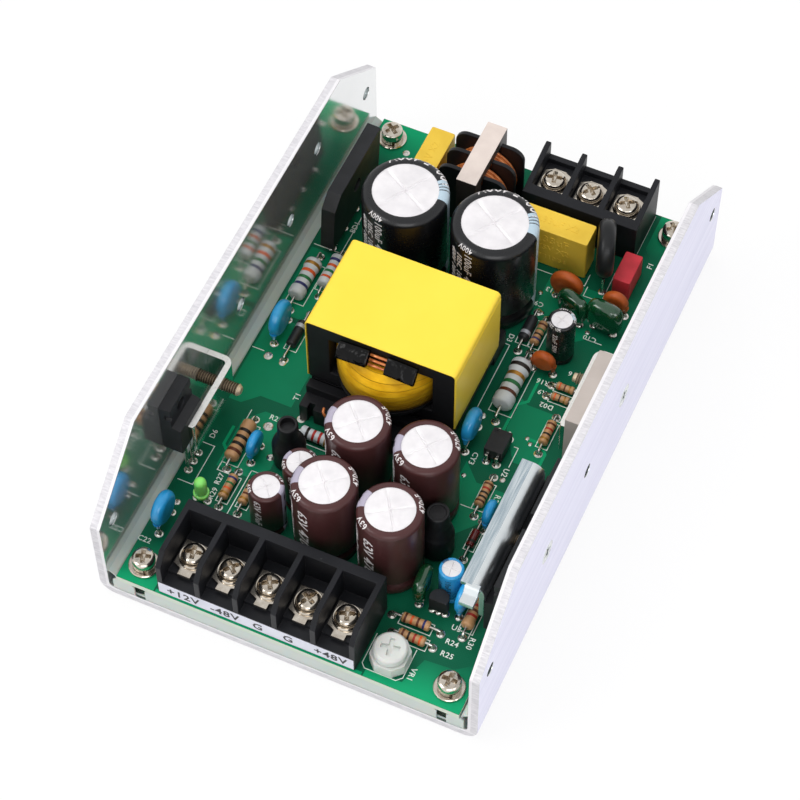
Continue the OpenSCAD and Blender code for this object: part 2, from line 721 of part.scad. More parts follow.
module output_terminal_block() {
  nose = 2.6;
  color("dimgray") {
    difference() {
      union() {
        translate([out_x - out_w / 2, out_front, top_z]) cube([out_w, out_d, out_floor]);
        translate([out_x - out_w / 2, out_front + out_d - out_back_t, top_z]) cube([out_w, out_back_t, out_h]);
        for (i = [0 : out_ways]) translate([out_x + (i - out_ways / 2) * way, out_front, top_z])
          along_x(barrier_t) polygon([[0, out_label_h], [0, out_h - 1.4 * nose], [nose, out_h],
            [out_d - out_back_t / 2, out_h], [out_d - out_back_t / 2, out_label_h]]);
      }
      for (p = out_spots) translate([p[0], p[1], top_z + out_floor - thread_below]) cylinder(h = out_h, d = well_d);
      for (p = out_spots) translate([p[0] - way / 2 + barrier_t / 2, out_front - 1, top_z + out_label_h])
        cube([way - barrier_t, out_screw_y - out_front - plate / 2 - 0.4, out_h]);
    }
    for (p = out_pins) lead(p, eps, pin_d);
  }
}

// Square clamp plates with a bent tab towards one end
module clamp_plates(spots, floor_h, side) {
  for (p = spots) translate([p[0], p[1], top_z + floor_h]) difference() {
    union() {
      translate([-plate / 2, -plate / 2, 0]) cube([plate, plate, plate_t]);
      translate([-tab_w / 2, side > 0 ? plate / 2 - eps : -plate / 2 - tab_l + eps, 0])
        cube([tab_w, tab_l, plate_t]);
    }
    translate([0, 0, -1]) cylinder(h = plate_t + 2, d = well_d);
  }
}

module output_terminal_plates() {
  color("gold") clamp_plates(out_spots, out_floor, -1);
}

module output_terminal_screws() {
  color("silver") for (i = [0 : out_ways - 1])
    translate([out_spots[i][0], out_spots[i][1], top_z + out_floor + plate_t])
      rotate([0, 0, 25 * i]) round_screw(plate_t + thread_below - 0.4);
}

module input_terminal_block() {
  color("dimgray") {
    difference() {
      union() {
        translate([in_x - in_w / 2, in_front, top_z]) cube([in_w, in_d, in_floor]);
        translate([in_x - in_w / 2, in_front, top_z]) cube([in_w, in_wall_t, in_h]);
        translate([in_x - in_w / 2, in_front + in_d - in_lip_t, top_z]) cube([in_w, in_lip_t, in_lip_h]);
        for (i = [0 : in_ways]) translate([in_x + (i - in_ways / 2) * way, in_front, top_z])
          along_x(barrier_t) polygon([[in_wall_t / 2, in_floor / 2], [in_wall_t / 2, in_h],
            [in_d - in_lip_t, in_fin_h], [in_d, in_fin_h], [in_d, in_floor / 2]]);
      }
      for (p = in_spots) translate([p[0], p[1], top_z + in_floor - thread_below]) cylinder(h = in_h, d = well_d);
    }
    for (p = in_pins) lead(p, eps, pin_d);
  }
}

module input_terminal_plates() {
  color("gold") clamp_plates(in_spots, in_floor, 1);
}

module input_terminal_screws() {
  color("silver") for (i = [0 : in_ways - 1])
    translate([in_spots[i][0], in_spots[i][1], top_z + in_floor + plate_t])
      rotate([0, 0, 15 + 30 * i]) round_screw(plate_t + thread_below - 0.4);
}

module transformer_core() {
  color("dimgray") translate([core_x, core_y, core_z]) {
    difference() {
      translate([-ferrite_w / 2, -ferrite_d / 2, 0]) cube([ferrite_w, ferrite_d, core_h]);
      translate([leg_w - ferrite_w / 2, -ferrite_d, core_yoke]) cube([ferrite_w - 2 * leg_w, 2 * ferrite_d, window_h]);
      translate([0, 0, core_yoke]) cylinder(h = window_h, d = coil + 2 * coil_play);
    }
    translate([0, 0, core_yoke - eps]) cylinder(h = window_h + 2 * eps, d = post);
  }
}

module transformer_bobbin() {
  web_w = 8 * step;
  color("darkslategray") translate([core_x, core_y, 0]) {
    for (s = [-1, 1]) translate([0, s * (ferrite_d / 2 + rail / 2), top_z]) difference() {
      translate([-rail_w / 2, -rail / 2, 0]) cube([rail_w, rail, rail_h]);
      for (i = [0 : rail_pins]) translate([(i - rail_pins / 2) * rail_pitch, s * rail / 2, rail_h / 2])
        cube([1.4, 3.2, rail_h + 2], center = true);
    }
    translate([-rail_w / 2, -ferrite_d / 2 - eps, top_z + rail_h - 2.4])
      cube([rail_w, ferrite_d + 2 * eps, deck_z - top_z - rail_h + 2.4]);
    for (s = [-1, 1]) translate([-rail_w / 2, s * (ferrite_d / 2 + tape_t + 0.3 + ledge_d / 2) - ledge_d / 2, top_z + rail_h - eps])
      cube([rail_w, ledge_d, core_z + 0.3 - top_z - rail_h]);
    for (s = [-1, 1]) translate([-web_w / 2, s * (ferrite_d / 2 + tape_t + 0.8) - 0.5, top_z + rail_h - eps])
      cube([web_w, 1, window_z + flange_t - top_z - rail_h]);
    difference() {
      union() {
        translate([0, 0, window_z + 0.1]) linear_extrude(flange_t) polygon(oval(coil_x, coil_y));
        translate([0, 0, window_z + window_h - flange_t - 0.1]) cylinder(h = flange_t, d = coil - 4);
        translate([0, 0, window_z + 0.1]) cylinder(h = window_h - 0.2, d = post + 2 * (tube_t + 0.1));
      }
      translate([0, 0, window_z - 1]) cylinder(h = window_h + 2, d = post + 0.2);
    }
  }
  color("silver") for (p = rail_spots) lead(p, eps);
}

module transformer_coil() {
  bottom = window_z + 0.1 + flange_t;
  top = window_z + window_h - 0.1 - flange_t;
  hole = post / 2 + tube_t + 0.2;
  h = top - bottom;
  color("gold") translate([core_x, core_y, bottom]) difference() {
    union() {
      linear_extrude(0.55 * h) polygon(oval(coil_x, coil_y));
      linear_extrude(0.82 * h) polygon(oval(coil_x - 0.3 * step, coil_y - 1.4 * step));
      linear_extrude(h) polygon(oval(coil_x - 0.8 * step, coil_y - 3.2 * step));
    }
    translate([0, 0, -1]) cylinder(h = h + 2, r = hole);
  }
}

module transformer_tape() {
  color("yellow") translate([core_x, core_y, core_z]) difference() {
    translate([-ferrite_w / 2 - tape_t, -ferrite_d / 2 - 0.2, -tape_t])
      cube([ferrite_w + 2 * tape_t, ferrite_d + 0.4, core_h + 2 * tape_t]);
    translate([-ferrite_w / 2, -ferrite_d, 0]) cube([ferrite_w, 2 * ferrite_d, core_h]);
  }
}

module transformer_sleeves() {
  sleeve_w = 7.5 * step;
  seat = 0.35 * step;
  reach = 3.6 * step;
  color("black") for (x = [-5.75 * step, 6.2 * step]) translate([core_x + x, core_y - ferrite_d / 2 - seat, window_z + window_h])
    rotate([0, 0, x > 0 ? -2 : 2]) along_x(sleeve_w) polygon([
      [-0.2 * step, 0.84 * core_yoke], [-0.4 * reach, 0.84 * core_yoke], [-reach, 0.14 * core_yoke],
      [-0.56 * reach, -0.08 * core_yoke]]);
}

module line_choke_core() {
  color("rosybrown") translate([lc_x, lc_y, 0]) difference() {
    translate([-bar / 2, -lc_long / 2, lc_low]) cube([bar, lc_long, lc_top - lc_low]);
    translate([-bar, -lc_inside / 2, lc_low + bar]) cube([2 * bar, lc_inside, lc_top - lc_low - 2 * bar]);
  }
}

module line_choke_bobbin() {
  play = 0.2;
  sleeve = 1;
  r = 3.4;
  half = lc_wide / 2;
  color("black") translate([lc_x, lc_y, 0]) {
    difference() {
      union() {
        for (s = [-1, 0, 1]) translate([0, s * (lc_inside - lc_thin) / 2 - s * 0.1, top_z])
          along_y(lc_thin) polygon(concat([[-half, 0], [half, 0]],
            arc([half - r, lc_flange_h - r], r, 0, 90, 6), arc([r - half, lc_flange_h - r], r, 90, 180, 6)));
        translate([0, 0, lc_axis])
          cube([bar + 2 * (sleeve + play), lc_inside - 0.2, bar + 2 * (sleeve + play)], center = true);
      }
      translate([0, 0, lc_axis]) cube([bar + 2 * play, lc_long, bar + 2 * play], center = true);
      translate([-bar / 2 - play, -lc_long, lc_top - bar - play]) cube([bar + 2 * play, 2 * lc_long, lc_h]);
    }
  }
  color("silver") for (p = lc_spots) lead(p, eps + 0.4);
}

module line_choke_windings() {
  room = (lc_inside - 3 * lc_thin) / 2 - 0.4;
  core_room = bar + 2.8;
  color("chocolate") for (s = [-1, 1]) translate([lc_x, lc_y + s * (room + lc_thin + 0.4) / 2, lc_axis]) difference() {
    rotate([90, 0, 0]) cylinder(h = room, d = lc_wind, center = true);
    cube([core_room, 2 * room, core_room], center = true);
  }
}

module bulk_capacitor_left() { color("black") can(bulk_left); }
module bulk_capacitor_right() { color("black") can(bulk_right); }
module output_capacitor_1() { color("sienna") can(output_1); }
module output_capacitor_2() { color("sienna") can(output_2); }
module output_capacitor_3() { color("sienna") can(output_3); }
module output_capacitor_4() { color("sienna") can(output_4); }
module filter_capacitor_1() { color("sienna") can(filter_1); }
module filter_capacitor_2() { color("sienna") can(filter_2); }
module control_capacitor() { color("black") can(control); }
module reference_capacitor() { color("deepskyblue") can(reference); }
module line_capacitor_front() { color("gold") boxed(xcap_front); }
module line_capacitor_side() { color("gold") boxed(xcap_side); }
module film_capacitor() { color("crimson") boxed(film_box); }
module thermistor() { color("black") disc(thermal[0]); }
module blue_discs() { color("dodgerblue") for (s = blue) disc(s); }
module orange_discs() { color("orangered") for (s = orange) disc(s); }
module green_capacitors() { color("darkgreen") for (s = green) dipped(s); }
module output_choke_left() { color("black") drum(drum_left); }
module output_choke_right() { color("black") drum(drum_right); }
module power_resistors() { color("lightsteelblue") for (a = grey) axial(a); }
module film_resistors() { color("burlywood") for (a = tan) axial(a); }
module diodes() { color("black") for (a = diode) axial(a, 0); }

module bridge_rectifier() {
  half = bridge_w / 2;
  color("black") {
    translate([bridge[0], bridge[1], top_z + bridge_lift]) rotate([0, bridge_tilt, 0]) difference() {
      along_x(bridge_t) polygon([[-half, 0], [half, 0], [half, bridge_h], [bridge_cut - half, bridge_h],
        [-half, bridge_h - bridge_cut]]);
      translate([0, 0, 0.6 * bridge_h]) rotate([0, 90, 0]) cylinder(h = 2 * bridge_t, d = 3.6, center = true);
    }
    for (p = bridge_spots) lead(p, bridge_lift + 0.4);
  }
}

module left_rectifier() {
  color("black") {
    translate([-inner_x, single_left_y, 0]) package(single, single_h, single_lift);
    for (p = left_spots) lead(p, single_lift + eps);
  }
}

module switching_transistor() {
  lift = cover_top - cover_t - cover_play - single_h;
  color("black") {
    translate([inner_x, single_right_y, 0]) mirror([1, 0, 0]) package(single, single_h, lift);
    for (p = right_spots) lead(p, lift + eps);
  }
}

module output_rectifiers() {
  color("black") {
    for (y = pair_y) translate([inner_x, y, 0]) mirror([1, 0, 0]) package(wide, pair_h, pair_lift);
    for (p = pair_spots) lead(p, pair_lift + eps);
  }
}

module insulating_cover() {
  color("lightgray") difference() {
    translate([inner_x - cover_x, cover_y - cover_long / 2, top_z + cover_top - cover_h]) cube([cover_x, cover_long, cover_h]);
    translate([inner_x - deep - cover_play, cover_y - cover_long / 2 + cover_t, top_z + cover_top - cover_h - 1])
      cube([deep + cover_play + 1, cover_long - 2 * cover_t, cover_h + 1 - cover_t]);
    rod_x([inner_x - cover_x - 1, strap_screw_right, wall_hole_z], cover_x + 2, screw_d + 4 * screw_play);
  }
}

// A strap from a wall at X = 0, past the screw axis at Y = 0, along the device it presses
module strap(reach, leg) {
  r = strap_bend;
  tip = 0.3 * strap_t;
  difference() {
    translate([0, 0, wall_hole_z - strap_drop]) linear_extrude(strap_w) polygon(concat(
      [[0, leg - strap_t], [0, leg]],
      arc([reach - r, leg - r], r, 90, 0, 6),
      [[reach, 2 * tip - strap_run], [reach - tip, -strap_run], [reach - strap_t, -strap_run]],
      arc([reach - r, leg - r], r - strap_t, 0, 90, 6)));
    rod_x([0, 0, wall_hole_z], reach + 2, screw_d + strap_play);
  }
}

module left_clamp_strap() {
  color("lightgray") translate([-inner_x, strap_screw_left, 0]) strap(strap_reach, strap_leg_left);
}

module right_clamp_strap() {
  color("lightgray") translate([inner_x, strap_screw_right, 0]) mirror([1, 0, 0]) strap(cover_x + strap_t, strap_leg_right);
}

module clamp_bar() {
  r = bar_t + 1.7;
  face = inner_x - deep;
  color("whitesmoke") difference() {
    union() {
      translate([0, bar_screw + bar_shift, 0]) along_y(bar_long) polygon(concat(
        [[face - bar_flange, bar_top - bar_t], [face - bar_flange, bar_top]],
        arc([face - r, bar_top - r], r, 90, 0, 6),
        [[face, bar_top - bar_leg], [face - bar_t, bar_top - bar_leg]],
        arc([face - r, bar_top - r], r - bar_t, 0, 90, 6)));
      translate([face - bar_flange + 0.8, bar_screw + bar_shift - bar_long / 2 - bar_lip, bar_top - bar_t - bar_step])
        cube([bar_flange - 0.8, bar_lip, bar_t]);
      translate([face - bar_flange + 1.6, bar_screw + bar_shift - bar_long / 2 + eps, bar_top - bar_t - bar_step])
        rotate([90, 0, 0]) cube([bar_flange - r - 1.6, bar_step + bar_t, 0.6 * bar_t]);
    }
    rod_x([face - bar_t - 1, bar_screw, wall_hole_z], bar_t + 2, screw_d + strap_play);
  }
}

// A countersunk screw from a wall's outer face, through a strap or bar
module sunk_screw(side, y, l) {
  translate([side * chassis_w / 2, y, wall_hole_z]) rotate([0, -side * 90, 0]) difference() {
    union() {
      cylinder(h = sunk_h, d1 = sunk_d, d2 = screw_d);
      translate([0, 0, sunk_h - eps]) cylinder(h = l - sunk_h, d = screw_d);
    }
    for (a = [45, 135]) rotate([0, 0, a]) cube([0.6 * sunk_d, 0.7, 1.6], center = true);
  }
}

module clamp_screws() {
  color("silver") {
    sunk_screw(-1, strap_screw_left, sheet_t + strap_reach + screw_past);
    sunk_screw(1, strap_screw_right, sheet_t + cover_x + strap_t + 0.6 * screw_past);
    sunk_screw(1, bar_screw, sheet_t + deep + bar_t + 0.5 * screw_past);
  }
}

module optocoupler() {
  foot_w = 0.6 * step;
  bite = 0.3 * step;
  color("black") translate([opto[0], opto[1], top_z + opto_lift]) difference() {
    translate([-opto_w / 2, -opto_l / 2, 0]) cube([opto_w, opto_l, opto_h]);
    translate([-opto_w / 2 + 1, opto_l / 2 - 1, opto_h]) cylinder(h = 0.5, d = 0.9, center = true);
  }
  color("silver") for (p = opto_spots) {
    lead(p, opto_lift + opto_h / 2 + lead_d / 2);
    reach = opto_span / 2 - opto_l / 2 + bite;
    translate([p[0] - foot_w / 2, p[1] > opto[1] ? p[1] - reach : p[1], top_z + opto_lift + opto_h / 2])
      cube([foot_w, reach, lead_d / 2]);
  }
}

module status_led() {
  r = led_d / 2;
  color("limegreen") {
    translate([led[0], led[1], top_z + led_lift]) rotate_extrude() polygon(concat(
      [[0, 0], [led_rim / 2, 0], [led_rim / 2, 1], [r, 1]],
      arc([0, led_h - r], r, 0, 90, 8)));
    for (p = led_spots) lead(p, led_lift + eps);
  }
}

module shunt_reference() {
  color("black") {
    translate([reference_chip[0], reference_chip[1], top_z + chip_lift]) difference() {
      cylinder(h = chip_h, d = chip_d);
      translate([-chip_d, -chip_d - chip_flat, -1]) cube([2 * chip_d, chip_d, chip_h + 2]);
    }
    for (p = chip_spots) lead(p, chip_lift + eps, 0.6 * lead_d);
  }
}

module trimmer_base() {
  half = trimmer_box / 2;
  lug = half - trimmer_cut;
  color("whitesmoke") {
    translate([trimmer[0], trimmer[1], top_z]) difference() {
      linear_extrude(trimmer_h) polygon([[half, -lug], [half, lug], [lug, half], [-lug, half], [-half, lug],
        [-half, -lug], [-lug, -half], [lug, -half]]);
      translate([0, 0, 0.8]) cylinder(h = trimmer_h, d = shaft + 2 * rotor_play);
    }
    for (p = trimmer_spots) lead(p, eps);
  }
}

module trimmer_rotor() {
  slot = 1;
  color("white") translate([trimmer[0], trimmer[1], top_z + trimmer_h + rotor_play]) difference() {
    union() {
      rotate_extrude() polygon([[0, 0], [rotor / 2 - 0.2, 0], [rotor / 2, 0.2], [rotor / 2, rotor_t - 0.5],
        [rotor / 2 - 0.5, rotor_t], [0, rotor_t]]);
      translate([0, 0, 1 - trimmer_h]) cylinder(h = trimmer_h - 1 + eps, d = shaft);
    }
    for (a = [10, 100]) rotate([0, 0, a]) translate([0, 0, rotor_t]) cube([0.55 * rotor, slot, 1.6], center = true);
  }
}

chassis();
insulation_sheet();
standoffs();
circuit_board();
board_screws();
lock_washers();
flat_washers();
output_terminal_block();
output_terminal_plates();
output_terminal_screws();
input_terminal_block();
input_terminal_plates();
input_terminal_screws();
transformer_core();
transformer_bobbin();
transformer_coil();
transformer_tape();
transformer_sleeves();
line_choke_core();
line_choke_bobbin();
line_choke_windings();
bulk_capacitor_left();
bulk_capacitor_right();
output_capacitor_1();
output_capacitor_2();
output_capacitor_3();
output_capacitor_4();
filter_capacitor_1();
filter_capacitor_2();
control_capacitor();
reference_capacitor();
line_capacitor_front();
line_capacitor_side();
film_capacitor();
thermistor();
blue_discs();
orange_discs();
green_capacitors();
bridge_rectifier();
left_rectifier();
output_rectifiers();
switching_transistor();
insulating_cover();
left_clamp_strap();
right_clamp_strap();
clamp_bar();
clamp_screws();
output_choke_left();
output_choke_right();
power_resistors();
film_resistors();
diodes();
optocoupler();
status_led();
shunt_reference();
trimmer_base();
trimmer_rotor();
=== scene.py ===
"""Looks of an open-frame power supply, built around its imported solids."""

from __future__ import annotations

import logging
from dataclasses import dataclass, field
from enum import Enum
from math import atan2, copysign, cos, exp, hypot, pi, radians, sin, sqrt, tan
from typing import Callable, Sequence

import bmesh
import bpy
from mathutils import Matrix, Vector


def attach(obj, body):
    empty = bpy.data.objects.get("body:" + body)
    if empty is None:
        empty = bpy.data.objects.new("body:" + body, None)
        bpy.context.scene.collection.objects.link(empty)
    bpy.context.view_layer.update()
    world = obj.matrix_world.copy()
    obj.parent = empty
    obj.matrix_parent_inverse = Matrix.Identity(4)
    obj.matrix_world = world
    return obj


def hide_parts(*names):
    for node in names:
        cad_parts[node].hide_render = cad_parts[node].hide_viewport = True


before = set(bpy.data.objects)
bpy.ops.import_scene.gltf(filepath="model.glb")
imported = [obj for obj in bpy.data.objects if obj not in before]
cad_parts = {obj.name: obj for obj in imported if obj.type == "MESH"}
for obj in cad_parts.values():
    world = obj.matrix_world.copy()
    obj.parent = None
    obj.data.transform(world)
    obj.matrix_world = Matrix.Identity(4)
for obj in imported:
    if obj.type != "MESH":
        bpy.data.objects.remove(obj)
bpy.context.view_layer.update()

LOG = logging.getLogger("power_supply")
MM = 0.001
BODY = "supply"
ROTOR_BODY = "rotor"
TOP = 8.3
LEAD_END = 5.5
INNER_X = 44.5
WALL_X = 47.0
HOLE_Z = 23.5
LEAD_PITCH = 2.54
WIRE_R = 0.4
DECAL = 0.03
INK_T = 0.024
FLAT = 0.99999
TIP = 0.001
SINK = 0.02
HERE = Matrix.Identity(4)
UP = Vector((0.0, 0.0, 1.0))
RESIST = (0, 0.34, 0.06, 70, 0.5, 4000, 0.04)

Color = tuple[float, float, float]
Spot = tuple[float, float]
Path = tuple[Spot, ...]
Place = tuple[float, float, float]
Marker = Callable[[Vector, Vector], int]
Curve = Callable[[float], float]
Socket = bpy.types.NodeSocket


def tint(code: str) -> Color:
    """Gives the linear colour of six hexadecimal digits, as written on the web."""
    parts = [int(code[i : i + 2], 16) / 255 for i in (0, 2, 4)]
    return tuple(c / 12.92 if c < 0.04045 else ((c + 0.055) / 1.055) ** 2.4 for c in parts)


class Graph:
    """Adds and joins the nodes of one shader tree."""

    def __init__(self, tree: bpy.types.NodeTree) -> None:
        """Keeps the tree that the nodes go into."""
        self.tree = tree

    @classmethod
    def fresh(cls, owner: bpy.types.ID) -> Graph:
        """Starts the empty shader tree of a material or a world."""
        owner.use_nodes = True
        owner.node_tree.nodes.clear()
        return cls(owner.node_tree)

    def feed(self, socket: Socket, value: object) -> None:
        """Links a socket to another one, or sets its value."""
        if isinstance(value, Socket):
            self.tree.links.new(value, socket)
        elif socket.type == "RGBA" and len(value) == 3:
            socket.default_value = (*value, 1.0)
        else:
            socket.default_value = value

    def node(self, kind: str, inputs: dict | None = None, **settings: object) -> bpy.types.Node:
        """Adds one node.

        Args:
            kind: Blender's name of the node type.
            inputs: Values or sockets by input name or number.
            settings: Attributes of the node.

        Returns:
            The new node.
        """
        made = self.tree.nodes.new(kind)
        for key, value in settings.items():
            setattr(made, key, value)
        for key, value in (inputs or {}).items():
            self.feed(made.inputs[key], value)
        return made

    def group(self, tree: bpy.types.NodeTree, inputs: dict) -> bpy.types.NodeOutputs:
        """Places a shared effect with its values and returns its outputs."""
        return self.node("ShaderNodeGroup", inputs, node_tree=tree).outputs

    def math(self, operation: str, a: object, b: object = 0.0, clamp: bool = False) -> Socket:
        """Puts a calculation on one or two values and returns its result."""
        made = self.node("ShaderNodeMath", {0: a, 1: b}, operation=operation, use_clamp=clamp)
        return made.outputs[0]

    def mix(self, factor: object, a: object, b: object) -> Socket:
        """Mixes two colours by a factor and returns the mixed colour."""
        made = self.node("ShaderNodeMix", {0: factor, 6: a, 7: b}, data_type="RGBA")
        return made.outputs[2]

    def noise(self, vector: object, scale: object, detail: float = 2.0) -> Socket:
        """Adds a noise texture and returns its value."""
        made = self.node("ShaderNodeTexNoise", {"Vector": vector, "Scale": scale, "Detail": detail})
        return made.outputs["Fac"]

    def scaled(self, vector: object, by: object) -> Socket:
        """Multiplies a vector's three values by those of another."""
        return self.node("ShaderNodeVectorMath", {0: vector, 1: by}, operation="MULTIPLY").outputs[0]

    def axes(self, vector: object) -> list[Socket]:
        """Splits a vector into its three values."""
        return list(self.node("ShaderNodeSeparateXYZ", {0: vector}).outputs)

    def band(self, value: object, middle: float, half: float) -> Socket:
        """Makes a mask that is one where a value lies within half a width of the middle."""
        away = self.math("ABSOLUTE", self.math("SUBTRACT", value, middle))
        return self.math("LESS_THAN", away, half)


class SharedEffects:
    """Shader groups that the finishes place with their own values."""

    SURFACE = "surface_variation"
    SPECKS = "dust_specks"

    @classmethod
    def _new(
        cls, name: str, takes: dict[str, str], gives: dict[str, str]
    ) -> tuple[Graph, bpy.types.Node, bpy.types.Node]:
        """Starts a group.

        Args:
            name: The group's name.
            takes: Socket types by input name.
            gives: Socket types by output name.

        Returns:
            The group's graph, its input node and its output node.
        """
        tree = bpy.data.node_groups.new(name, "ShaderNodeTree")
        for key, kind in takes.items():
            tree.interface.new_socket(key, in_out="INPUT", socket_type=kind)
        for key, kind in gives.items():
            tree.interface.new_socket(key, in_out="OUTPUT", socket_type=kind)
        graph = Graph(tree)
        return graph, graph.node("NodeGroupInput"), graph.node("NodeGroupOutput")

    @classmethod
    def surface(cls) -> bpy.types.NodeTree:
        """Group of uneven colour, uneven roughness and fine relief."""
        if cls.SURFACE in bpy.data.node_groups:
            return bpy.data.node_groups[cls.SURFACE]
        value, colour, vector = "NodeSocketFloat", "NodeSocketColor", "NodeSocketVector"
        takes = {"Vector": vector, "Color": colour, "Shade": colour, "Tone Scale": value, "Tone": value}
        takes |= {"Grain Scale": value, "Stretch": vector, "Roughness": value, "Spread": value}
        gives = {"Color": colour, "Roughness": value, "Height": value}
        graph, start, end = cls._new(cls.SURFACE, takes, gives)
        take = start.outputs
        pulled = graph.scaled(take["Vector"], take["Stretch"])
        patch = graph.noise(pulled, take["Tone Scale"], 4.0)
        lift = graph.math("MULTIPLY", graph.math("SUBTRACT", patch, 0.36), 3.4, clamp=True)
        mixed = graph.mix(graph.math("MULTIPLY", lift, take["Tone"]), take["Color"], take["Shade"])
        graph.feed(end.inputs["Color"], mixed)
        grain = graph.noise(pulled, take["Grain Scale"], 3.0)
        uneven = graph.math("SUBTRACT", graph.math("ADD", grain, patch), 1.0)
        swing = graph.math("MULTIPLY", uneven, take["Spread"])
        graph.feed(end.inputs["Roughness"], graph.math("ADD", take["Roughness"], swing, clamp=True))
        graph.feed(end.inputs["Height"], grain)
        return graph.tree

    @classmethod
    def specks(cls) -> bpy.types.NodeTree:
        """Group of scattered pale specks."""
        if cls.SPECKS in bpy.data.node_groups:
            return bpy.data.node_groups[cls.SPECKS]
        takes = {"Vector": "NodeSocketVector", "Scale": "NodeSocketFloat", "Size": "NodeSocketFloat"}
        graph, start, end = cls._new(cls.SPECKS, takes, {"Mask": "NodeSocketFloat"})
        take = start.outputs
        cells = graph.node("ShaderNodeTexVoronoi", {"Vector": take["Vector"], "Scale": take["Scale"]})
        near = graph.math("LESS_THAN", cells.outputs["Distance"], take["Size"])
        rare = graph.math("GREATER_THAN", graph.axes(cells.outputs["Color"])[0], 0.72)
        graph.feed(end.inputs["Mask"], graph.math("MULTIPLY", near, rare))
        return graph.tree


@dataclass(frozen=True)
class Finish:
    """One finish: its colours, gloss and fine relief."""

    name: str
    color: str
    shade: str
    metallic: float = 0.0
    roughness: float = 0.45
    spread: float = 0.12
    tone_scale: float = 260.0
    tone: float = 0.5
    grain_scale: float = 2600.0
    grain: float = 0.12
    depth: float = 0.00003
    stretch: Place = (1.0, 1.0, 1.0)
    coat: float = 0.0
    specular: float = 0.5
    subsurface: float = 0.0
    specks: float = 0.0
    dust: str = "DADADA"

    def paint(self, graph: Graph, coords: Socket, color: Socket) -> Socket:
        """Hook for patterns over the plain colour, returned unchanged here."""
        return color

    def make(self) -> bpy.types.Material:
        """Builds the material, or gives the one that is there already."""
        if self.name in bpy.data.materials:
            return bpy.data.materials[self.name]
        material = bpy.data.materials.new(self.name)
        material.diffuse_color = (*tint(self.color), 1.0)
        graph = Graph.fresh(material)
        coords = graph.node("ShaderNodeTexCoord").outputs["Object"]
        values = {"Vector": coords, "Color": tint(self.color), "Shade": tint(self.shade)}
        values |= {"Stretch": self.stretch, "Tone Scale": self.tone_scale, "Tone": self.tone}
        values |= {"Grain Scale": self.grain_scale, "Roughness": self.roughness, "Spread": self.spread}
        surface = graph.group(SharedEffects.surface(), values)
        color = self.paint(graph, coords, surface["Color"])
        if self.specks:
            grit = {"Vector": coords, "Scale": 420.0, "Size": self.specks}
            dust = graph.group(SharedEffects.specks(), grit)
            color = graph.mix(graph.math("MULTIPLY", dust["Mask"], 0.35), color, tint(self.dust))
        relief = {"Strength": self.grain, "Distance": self.depth, "Height": surface["Height"]}
        bump = graph.node("ShaderNodeBump", relief)
        shader = graph.node(
            "ShaderNodeBsdfPrincipled",
            {
                "Base Color": color,
                "Roughness": surface["Roughness"],
                "Normal": bump.outputs["Normal"],
                "Metallic": self.metallic,
                "Specular IOR Level": self.specular,
                "Coat Weight": self.coat,
                "Coat Roughness": 0.12,
                "Subsurface Weight": self.subsurface,
                "Subsurface Scale": MM,
            },
        )
        graph.node("ShaderNodeOutputMaterial", {"Surface": shader.outputs[0]})
        return material


@dataclass(frozen=True)
class SleeveFinish(Finish):
    """A printed shrink sleeve with one pale stripe of dashes on its +X side."""

    stripe: str = "BCBCC4"
    ink: str = "303038"
    half_angle: float = 0.34
    pitch: float = 0.0052
    lines: int = 0

    def paint(self, graph: Graph, coords: Socket, color: Socket) -> Socket:
        """Draws the stripe and its dashes.

        Args:
            graph: The material's graph.
            coords: Place on the piece.
            color: The sleeve's colour.

        Returns:
            The printed colour.
        """
        x, y, z = graph.axes(coords)
        angle = graph.math("ARCTAN2", y, x)
        on_stripe = graph.band(angle, 0.0, self.half_angle)
        row = graph.math("FRACT", graph.math("DIVIDE", z, self.pitch))
        narrow = graph.band(angle, 0.0, self.half_angle * 0.32)
        dash = graph.math("MULTIPLY", graph.band(row, 0.5, 0.22), narrow)
        for i in range(self.lines):
            line = graph.band(angle, self.half_angle * (0.6 - 0.3 * i), 0.016)
            dash = graph.math("MAXIMUM", dash, line) if i else line
        return graph.mix(on_stripe, color, graph.mix(dash, tint(self.stripe), tint(self.ink)))


@dataclass(frozen=True)
class BoardFinish(Finish):
    """Green solder resist over glass cloth, with pale raw edges."""

    edge: str = "AABC95"
    cloth: str = "277C55"
    weave: float = 9000.0

    def paint(self, graph: Graph, coords: Socket, color: Socket) -> Socket:
        """Shows the raw laminate where the face doesn't look up or down.

        Args:
            graph: The material's graph.
            coords: Place on the piece.
            color: The resist's colour.

        Returns:
            The colour of resist and edges.
        """
        facing = graph.axes(graph.node("ShaderNodeNewGeometry").outputs["Normal"])[2]
        flat = graph.math("GREATER_THAN", graph.math("ABSOLUTE", facing), 0.5)
        x, y, _ = graph.axes(coords)
        warp, weft = (graph.math("SINE", graph.math("MULTIPLY", axis, self.weave)) for axis in (x, y))
        threads = graph.math("ABSOLUTE", graph.math("ADD", warp, weft))
        woven = graph.mix(graph.math("MULTIPLY", threads, 0.06), color, tint(self.cloth))
        return graph.mix(flat, tint(self.edge), woven)


